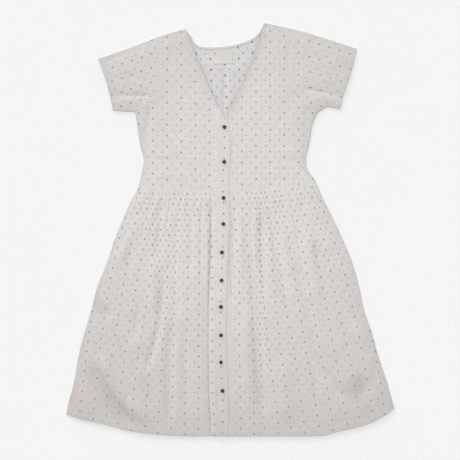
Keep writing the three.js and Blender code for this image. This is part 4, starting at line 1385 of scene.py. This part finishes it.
class DRESS_OT_label(bpy.types.Operator):
    """Makes the bare neck label"""

    bl_idname = "dress.label"
    bl_label = "Neck label"

    def execute(self, context):
        sizes = context.scene.dress_sizes
        u, v = np.meshgrid(np.linspace(0, 1, 33), np.linspace(0, 1, 29), indexing="ij")
        plan = label_plan(u, v, sizes)
        top = label_height(u, v, plan, sizes)
        made = shell("bare_label", plan, top, top - 0.35 * MM, finishes("Label tape"))
        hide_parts("neck_label")
        return {"FINISHED"}


def label_plan(u, v, sizes):
    dx = (u - 0.5) * sizes.label_width
    dy = -v * sizes.label_height
    cos, sin = math.cos(LABEL_TILT), math.sin(LABEL_TILT)
    return np.stack((LABEL_TOP[0] + dx * cos - dy * sin, LABEL_TOP[1] + dx * sin + dy * cos), -1)


def label_height(u, v, plan, sizes):
    """The label's face, turned under at its sides and lifting a little at its foot."""
    edge = np.minimum(u, 1 - u) * sizes.label_width
    folded = 0.3 * MM * smooth(5 * MM, 4 * MM, edge)
    lift = 0.7 * MM * v**2 * (0.6 + 0.4 * np.cos(2 * math.pi * (u - 0.2)))
    return back_inside(plan[..., 0], plan[..., 1], sizes) + 0.55 * MM + folded + lift


class DRESS_OT_buttons(bpy.types.Operator):
    """Makes the ten buttons with their holes and thread"""

    bl_idname = "dress.buttons"
    bl_label = "Buttons"

    def execute(self, context):
        sizes = context.scene.dress_sizes
        form, faces, of_face = button_form(sizes)
        for number, ((y, aside), tilt) in enumerate(zip(BUTTONS, BUTTON_TILTS), 1):
            x = band_middle(sizes, y) + aside
            points = tipped(form, 0.4 * number, math.radians(tilt))
            ring = np.linspace(0, 2 * math.pi, 25)
            rx, ry = x + sizes.button / 2 * np.cos(ring), y + sizes.button / 2 * np.sin(ring)
            seat = upper_band_top(rx, ry, sizes).max()
            points = points + (x, y, seat - points[:, 2].min() + 0.05 * MM)
            made = piece(f"horn_button_{number:02d}", points, faces,
                         finishes("Button horn", "Button holes", "Button thread"), of_face, sharp=35.0)
            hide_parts(f"button_{number:02d}")
        return {"FINISHED"}


def tipped(points, turn, lean):
    """Points turned about Z and then leant about Y."""
    c, s = math.cos(turn), math.sin(turn)
    about_z = np.array(((c, -s, 0), (s, c, 0), (0, 0, 1)))
    c, s = math.cos(lean), math.sin(lean)
    about_y = np.array(((c, 0, s), (0, 1, 0), (-s, 0, c)))
    return points @ about_z.T @ about_y.T


def button_form(sizes):
    """A dished button with a rounded rim, four holes and two runs of thread."""
    r = sizes.button / 2
    high = 2.4 * MM
    profile = np.array((
        (0.0, 0.0), (0.7 * r, 0.0), (0.88 * r, 0.1 * high), (0.97 * r, 0.3 * high), (r, 0.52 * high),
        (0.985 * r, 0.76 * high), (0.94 * r, 0.92 * high), (0.87 * r, high), (0.79 * r, 0.97 * high),
        (0.72 * r, 0.86 * high), (0.66 * r, 0.74 * high), (0.58 * r, 0.69 * high), (0.0, 0.67 * high)))
    sides = sizes.button_sides
    angle = 2 * math.pi * np.arange(sides) / sides
    rings = profile[1:-1]
    points = [np.array((0.0, 0.0, 0.0))]
    for radius, z in rings:
        points += list(np.stack((radius * np.cos(angle), radius * np.sin(angle), np.full(sides, z)), -1))
    points.append(np.array((0.0, 0.0, profile[-1, 1])))
    faces = []
    for k in range(sides):
        after = (k + 1) % sides
        faces.append((0, 1 + after, 1 + k))
        for i in range(len(rings) - 1):
            a, b = 1 + i * sides, 1 + (i + 1) * sides
            faces.append((a + k, a + after, b + after, b + k))
        b = 1 + (len(rings) - 1) * sides
        faces.append((b + k, b + after, len(points) - 1))
    of_face = [0] * len(faces)
    # The four holes are flat discs on the dish, coloured near black as painted shade
    spread, hole, hole_sides = 0.24 * r, 0.13 * r, 10
    floor = profile[-1, 1] + 0.03 * MM
    for cx, cy in ((-spread, -spread), (spread, -spread), (spread, spread), (-spread, spread)):
        start = len(points)
        for k in range(hole_sides):
            a = 2 * math.pi * k / hole_sides
            points.append(np.array((cx + hole * math.cos(a), cy + hole * math.sin(a), floor)))
        faces.append(tuple(range(start, start + hole_sides)))
        of_face.append(1)
    for cy in (-spread, spread):
        for offset in (-0.11 * MM, 0.16 * MM):
            start = len(points)
            half = spread + 0.08 * r
            width = 0.15 * MM
            for x, lift in ((-half, 0.0), (-half * 0.6, 0.22), (0.0, 0.3), (half * 0.6, 0.22), (half, 0.0)):
                for side, up in ((-width, 0.0), (0.0, 0.16), (width, 0.0)):
                    points.append(np.array((x, cy + offset + side, floor + (lift + up) * MM)))
            for i in range(4):
                for j in range(2):
                    a = start + 3 * i + j
                    faces.append((a, a + 3, a + 4, a + 1))
                    of_face.append(2)
    return np.array(points), faces, of_face


class DRESS_OT_buttonholes(bpy.types.Operator):
    """Makes the worked buttonholes in the upper band"""

    bl_idname = "dress.buttonholes"
    bl_label = "Buttonholes"

    def execute(self, context):
        sizes = context.scene.dress_sizes
        surface = laid(upper_band_top, sizes)
        groups = []
        long_half, bar_half = 7.2 * MM, 0.75 * MM
        for y in BUTTONS[:, 0]:
            middle = np.array((band_middle(sizes, y) - 1.5 * MM, y))
            at = np.arange(-long_half, long_half, 0.55 * MM)
            for side in (-1, 1):
                centres = middle + np.stack((at, np.full(len(at), side * 0.95 * MM)), -1)
                groups.append(bars(surface, centres, np.array((0.05 * MM, bar_half)),
                                   np.array((0.26 * MM, 0.0)), 0.28 * MM))
            ends = middle + np.array(((-long_half, 0.0), (long_half, 0.0)))
            for shift in (-0.3 * MM, 0.3 * MM):
                groups.append(bars(surface, ends + (shift, 0), np.array((0.0, 1.7 * MM)),
                                   np.array((0.26 * MM, 0.0)), 0.34 * MM))
        threads("buttonholes", [merged(groups)], finishes("Sewing thread"))
        return {"FINISHED"}


HEM_STITCH_INSET = 1.5 * MM        # from the turned edge of a hem or a cuff


def outside_stitches(sizes):
    """The rows beside the V and on the bands, armholes, cuffs, hem and neck strip."""
    t = np.linspace(0, 1, 120)
    groups = [
        stitch_row(beside(curve(LEFT_V)(t * 0.99), -sizes.facing + 0.8 * MM), sizes,
                   laid(bodice_top, sizes, True)),
        stitch_row(beside(curve(RIGHT_V)(t * 0.97), sizes.facing - 0.8 * MM), sizes,
                   laid(bodice_top, sizes, False)),
    ]
    for aside, head in ((-sizes.band_width + 2 * MM, 300 * MM), (-2 * MM, 262 * MM)):
        line = down(lap_at, head, hem_middle() + 2 * MM, aside)(t)
        groups.append(stitch_row(line, sizes, laid(upper_band_top, sizes)))
    for left in (True, False):
        way = 1 if left else -1
        armhole = curve(LEFT_ARMHOLE if left else RIGHT_ARMHOLE)(0.03 + t * 0.94)
        groups.append(stitch_row(beside(armhole, 7 * MM * way), sizes, laid(bodice_top, sizes, left)))
        cuff = curve(LEFT_CUFF if left else RIGHT_CUFF)(0.03 + t * 0.94)
        groups.append(stitch_row(beside(cuff, (sizes.hem_depth - HEM_STITCH_INSET) * way), sizes,
                                 laid(sleeve_top, sizes)))
        groups.append(skirt_hem_stitches(left, sizes))
    neck = curve(BACK_NECK)(BINDING_ENDS[0] + t * (BINDING_ENDS[1] - BINDING_ENDS[0]))

    def on_binding(p):
        return lifted(p, back_inside(p[:, 0], p[:, 1], sizes) + 0.85 * MM)

    groups.append(stitch_row(beside(neck, -sizes.binding + 1.1 * MM), sizes, on_binding))
    return groups


def skirt_hem_stitches(left, sizes):
    """A row over a front's hem, placed by shares of its panel."""
    place = patch(*skirt_edges(left, sizes))

    def on_skirt(p):
        u, v = p.T
        plan = place(u, v)
        return lifted(plan, skirt_top(plan[:, 0], plan[:, 1], u, v, sizes, left))

    hem_width = 0.385
    count = int(0.38 / (sizes.stitch * STITCH_PITCH))
    v = 1 - (sizes.hem_depth - HEM_STITCH_INSET) / SKIRT_LENGTH
    centres = np.stack((np.linspace(0.01, 0.985, count), np.full(count, v)), -1)
    return bars(on_skirt, centres, np.array((sizes.stitch / 2 / hem_width, 0.0)),
                np.array((0.0, STITCH_HALF_WIDTH / SKIRT_LENGTH)), STITCH_RISE)


def label_stitches(sizes):
    """Stitches along the label's top and both its sides, placed by shares of it."""
    def on_label(p):
        plan = label_plan(p[:, 0], p[:, 1], sizes)
        return lifted(plan, label_height(p[:, 0], p[:, 1], plan, sizes))

    at = np.linspace(0.05, 0.95, 13)
    groups = [bars(on_label, np.stack((at, np.full(13, 0.05)), -1), np.array((0.028, 0.0)),
                   np.array((0.0, 0.009)), STITCH_RISE)]
    at = np.linspace(0.07, 0.95, 11)
    for u in (0.04, 0.96):
        groups.append(bars(on_label, np.stack((np.full(11, u), at), -1), np.array((0.0, 0.033)),
                           np.array((0.008, 0.0)), STITCH_RISE))
    return groups


def back_hem_stitches(sizes):
    at = np.linspace(-0.4, 0.4, int(0.8 / (sizes.stitch * STITCH_PITCH)))
    centres = np.stack((at, hem_at(at) + sizes.hem_depth - HEM_STITCH_INSET), -1)
    return [bars(laid(back_under), centres, np.array((sizes.stitch / 2, 0.0)),
                 np.array((0.0, STITCH_HALF_WIDTH)), -0.2 * MM)]


class DRESS_OT_stitching(bpy.types.Operator):
    """Makes the rows of machine stitches"""

    bl_idname = "dress.stitching"
    bl_label = "Stitching"

    def execute(self, context):
        sizes = context.scene.dress_sizes
        for name, rows in (("stitches_outside", outside_stitches), ("stitches_label", label_stitches),
                           ("stitches_underside", back_hem_stitches)):
            threads(name, [merged(rows(sizes))], finishes("Sewing thread"))
        return {"FINISHED"}


SPOT_RISE = 0.26 * MM
SPOT_MARGIN = 1.6 * MM             # how far the middle of a spot stays from a panel's edge


def spot_halves(sizes):
    """Half of a spot's width and half of its height, as steps in plan."""
    return np.array((sizes.spot_width / 2, 0.0)), np.array((0.0, sizes.spot_height / 2))


def repeat(sizes):
    """The steps of the straight lattice: to the next column, and down one column."""
    return np.array((sizes.spot_across, 0.0)), np.array((0.0, -sizes.spot_along))


def panel_spots(name, surface, found, number, keep, sizes, rise=SPOT_RISE):
    wide, tall = spot_halves(sizes)
    woven_spots(name, surface, found[keep], number[keep], tall, wide, rise, spot_materials())


def bodice_spots(left, sizes):
    """On a front of the bodice the lattice runs straight down."""
    columns, rows = repeat(sizes)
    start, lean = (mm((-123, 357))[0], 0.03) if left else (mm((28.5, 332.5))[0], 0.0)
    found, number = lattice(start, columns + (0, -lean * sizes.spot_across), rows, (22, 16))
    keep = inside(found, outline_of(bodice_edges(left, sizes)), SPOT_MARGIN)
    panel_spots(f"spots_bodice_{side_name(left)}", laid(bodice_top, sizes, left), found, number, keep, sizes)


def skirt_spots(left, sizes):
    """On a front of the skirt the lattice follows its chart."""
    edges = skirt_edges(left, sizes)
    place = patch(*edges)
    found, number = skirt_lattice(*(LEFT_SPOTS if left else RIGHT_SPOTS), sizes)
    keep = inside(found, outline_of(edges), SPOT_MARGIN)

    def surface(p):
        u, v = shares_of(place, p)
        top = skirt_top(p[:, 0], p[:, 1], u, v, sizes, left)
        return lifted(tucked(*p.T) if left else p, top)

    panel_spots(f"spots_skirt_{side_name(left)}", surface, found, number, keep, sizes)


def sleeve_spots(left, sizes):
    """On a sleeve the columns run along it, and go round to its underside."""
    if left:
        start = mm((-318, 433))[0]
        along_sleeve, across_sleeve = mm((24.4, 8.3), (3.7, -10.4))
    else:
        start = mm((196, 471.5))[0]
        along_sleeve, across_sleeve = mm((25.6, -7.9), (-3.8, -11.6))
    found, number = lattice(start, across_sleeve, along_sleeve, (22, 14))
    top, low, armhole, cuff = sleeve_edges(left)
    outline = outline_of((armhole, cuff, top, low))
    unit = along_sleeve / np.hypot(*along_sleeve)
    square = np.array((-unit[1], unit[0]))
    name = f"spots_sleeve_{side_name(left)}"
    for ending, surface, shift, rise in (("", laid(sleeve_top, sizes), 0.0, SPOT_RISE),
                                         ("_under", laid(back_under), 0.5, -SPOT_RISE)):
        centres = found + across_sleeve * shift
        keep = inside(centres, outline, SPOT_MARGIN)
        woven_spots(name + ending, surface, centres[keep], number[keep], unit * sizes.spot_height / 2,
                    square * sizes.spot_width / 2, rise, spot_materials())


def band_spots(sizes):
    """On the upper band the lattice follows it down."""
    found, number = lattice(mm((-14.4, 231.5))[0], *repeat(sizes), (2, 30))
    keep = np.abs(found[:, 0] + sizes.band_width / 2) < sizes.band_width / 2 - 3.2 * MM
    keep &= (found[:, 1] < OVER_BAND_TOP[1] + 4 * MM) & (found[:, 1] > hem_middle() + 4 * MM)

    def on_band(p):
        x = lap_at(p[:, 1]) + p[:, 0]
        return lifted(np.stack((x, p[:, 1]), -1), upper_band_top(x, p[:, 1], sizes))

    panel_spots("spots_upper_band", on_band, found, number, keep, sizes)


def back_spots(sizes):
    """The face below and its reverse inside, where the order of the colours is mirrored."""
    columns, rows = repeat(sizes)
    found, number = lattice(mm((-14, 414))[0], columns + (0, 0.2 * MM), rows + (1.3 * MM, 0), (24, 16))
    number = (3 - number) % 3
    keep = inside(found, back_outline(), 1.8 * MM)
    face = laid(back_under)
    panel_spots("spots_back_bodice", face, found, number, keep, sizes, -SPOT_RISE * 0.8)
    seen = keep & inside(found, neck_opening(), 0)
    wide, tall = spot_halves(sizes)
    woven_spots("spots_back_inside", laid(back_inside, sizes), found[seen], number[seen], tall * 1.2,
                wide * 1.1, SPOT_RISE, spot_materials(" inside"))

    halves = [skirt_lattice(*spots, sizes) for spots in BACK_SPOTS]
    found = np.vstack([half[0] for half in halves])
    number = (3 - np.concatenate([half[1] for half in halves])) % 3
    keep = inside(found, outline_of(back_skirt_edges()), SPOT_MARGIN)
    panel_spots("spots_back_skirt", face, found, number, keep, sizes, -SPOT_RISE * 0.8)


def back_outline():
    t = np.linspace(0, 1, 60)
    left, right = curve(LEFT_ARMHOLE)(t), curve(RIGHT_ARMHOLE)(t)
    left_side = down(left_side_at, ARMPIT_Y, WAIST[0, 1])(t)
    right_side = down(right_side_at, ARMPIT_Y, WAIST[-1, 1])(t)
    waist = across(waist_at, left_side[-1, 0], right_side[-1, 0])(t)
    return np.vstack((curve(LEFT_SHOULDER)(t)[::-1], curve(BACK_NECK)(t), curve(RIGHT_SHOULDER)(t), right,
                      right_side, waist[::-1], left_side[::-1], left[::-1]))


def neck_opening():
    t = np.linspace(0, 1, 60)
    return np.vstack((curve(BACK_NECK)(t), curve(RIGHT_V)(t), curve(LEFT_V)(t)[::-1]))


class DRESS_OT_spots(bpy.types.Operator):
    """Makes the woven spots of every panel"""

    bl_idname = "dress.spots"
    bl_label = "Woven spots"

    def execute(self, context):
        sizes = context.scene.dress_sizes
        for panel in (bodice_spots, skirt_spots, sleeve_spots):
            for left in (True, False):
                panel(left, sizes)
        band_spots(sizes)
        back_spots(sizes)
        return {"FINISHED"}


class DRESS_OT_studio(bpy.types.Operator):
    """Makes the floor, the lights and the camera above the dress"""

    bl_idname = "dress.studio"
    bl_label = "Studio"

    def execute(self, context):
        scene = context.scene
        mesh = bpy.data.meshes.new("floor")
        half = 6.0
        mesh.from_pydata([(-half, -half, 0), (half, -half, 0), (half, half, 0), (-half, half, 0)], [],
                         [(0, 1, 2, 3)])
        finish = Finish("Studio floor", Specular_IOR_Level=0.1)
        base = scene.dress_colours.floor
        finish.set("Base Color", finish.mix(finish.noise(3.0), rgba(base, 0.995), rgba(base)))
        finish.set("Roughness", finish.range(finish.noise(40.0), 0.0, 1.0, 0.9, 0.95))
        mesh.materials.append(finish.material)
        floor = bpy.data.objects.new("floor", mesh)
        scene.collection.objects.link(floor)

        world = bpy.data.worlds.new("Studio air")
        world.use_nodes = True
        background = world.node_tree.nodes["Background"]
        background.inputs["Color"].default_value = (1.0, 1.0, 1.0, 1.0)
        background.inputs["Strength"].default_value = 0.47
        scene.world = world

        for name, energy, softness, way in (("overhead", 1.5, 16, (0.15, -0.25, -1)),
                                            ("low_light", 1.7, 22, (0.42, -0.9, -0.22))):
            lamp = bpy.data.lights.new(name, "SUN")
            lamp.energy = energy
            lamp.angle = math.radians(softness)
            holder = bpy.data.objects.new(name, lamp)
            holder.rotation_euler = Vector(way).to_track_quat("-Z", "Y").to_euler()
            scene.collection.objects.link(holder)

        seen, height, dress_level = 1.150, 2.6, 0.005
        camera = bpy.data.cameras.new("camera")
        camera.sensor_width = 36.0
        camera.lens = camera.sensor_width * (height - dress_level) / seen
        holder = bpy.data.objects.new("camera", camera)
        holder.location = (-0.001, -0.001, height)
        scene.collection.objects.link(holder)
        scene.camera = holder
        scene.view_settings.view_transform = "Standard"
        return {"FINISHED"}


OPERATORS = (
    DRESS_OT_back, DRESS_OT_front_bodice, DRESS_OT_front_skirt, DRESS_OT_sleeves, DRESS_OT_bands,
    DRESS_OT_binding, DRESS_OT_label, DRESS_OT_buttonholes, DRESS_OT_buttons, DRESS_OT_stitching,
    DRESS_OT_spots, DRESS_OT_studio,
)


class DRESS_PT_panel(bpy.types.Panel):
    """Lists the dress's sizes, colours and pieces"""

    bl_idname = "DRESS_PT_panel"
    bl_label = "Cotton dress"
    bl_space_type = "VIEW_3D"
    bl_region_type = "UI"
    bl_category = "Dress"

    def draw(self, context):
        layout = self.layout
        for group in (context.scene.dress_sizes, context.scene.dress_colours):
            box = layout.box()
            for name in group.__annotations__:
                box.prop(group, name)
        for operator in OPERATORS:
            layout.operator(operator.bl_idname)


CLASSES = (DressSizes, DressColours, *OPERATORS, DRESS_PT_panel)


def register():
    for made in CLASSES:
        bpy.utils.register_class(made)
    bpy.types.Scene.dress_sizes = PointerProperty(type=DressSizes)
    bpy.types.Scene.dress_colours = PointerProperty(type=DressColours)


def unregister():
    del bpy.types.Scene.dress_colours
    del bpy.types.Scene.dress_sizes
    for made in reversed(CLASSES):
        bpy.utils.unregister_class(made)


def main():
    register()
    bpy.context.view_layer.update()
    bpy.ops.dress.back()
    bpy.ops.dress.front_bodice()
    bpy.ops.dress.front_skirt()
    bpy.ops.dress.sleeves()
    bpy.ops.dress.bands()
    bpy.ops.dress.binding()
    bpy.ops.dress.label()
    bpy.ops.dress.buttonholes()
    bpy.ops.dress.buttons()
    bpy.ops.dress.stitching()
    bpy.ops.dress.spots()
    bpy.ops.dress.studio()


if __name__ == "__main__":
    main()
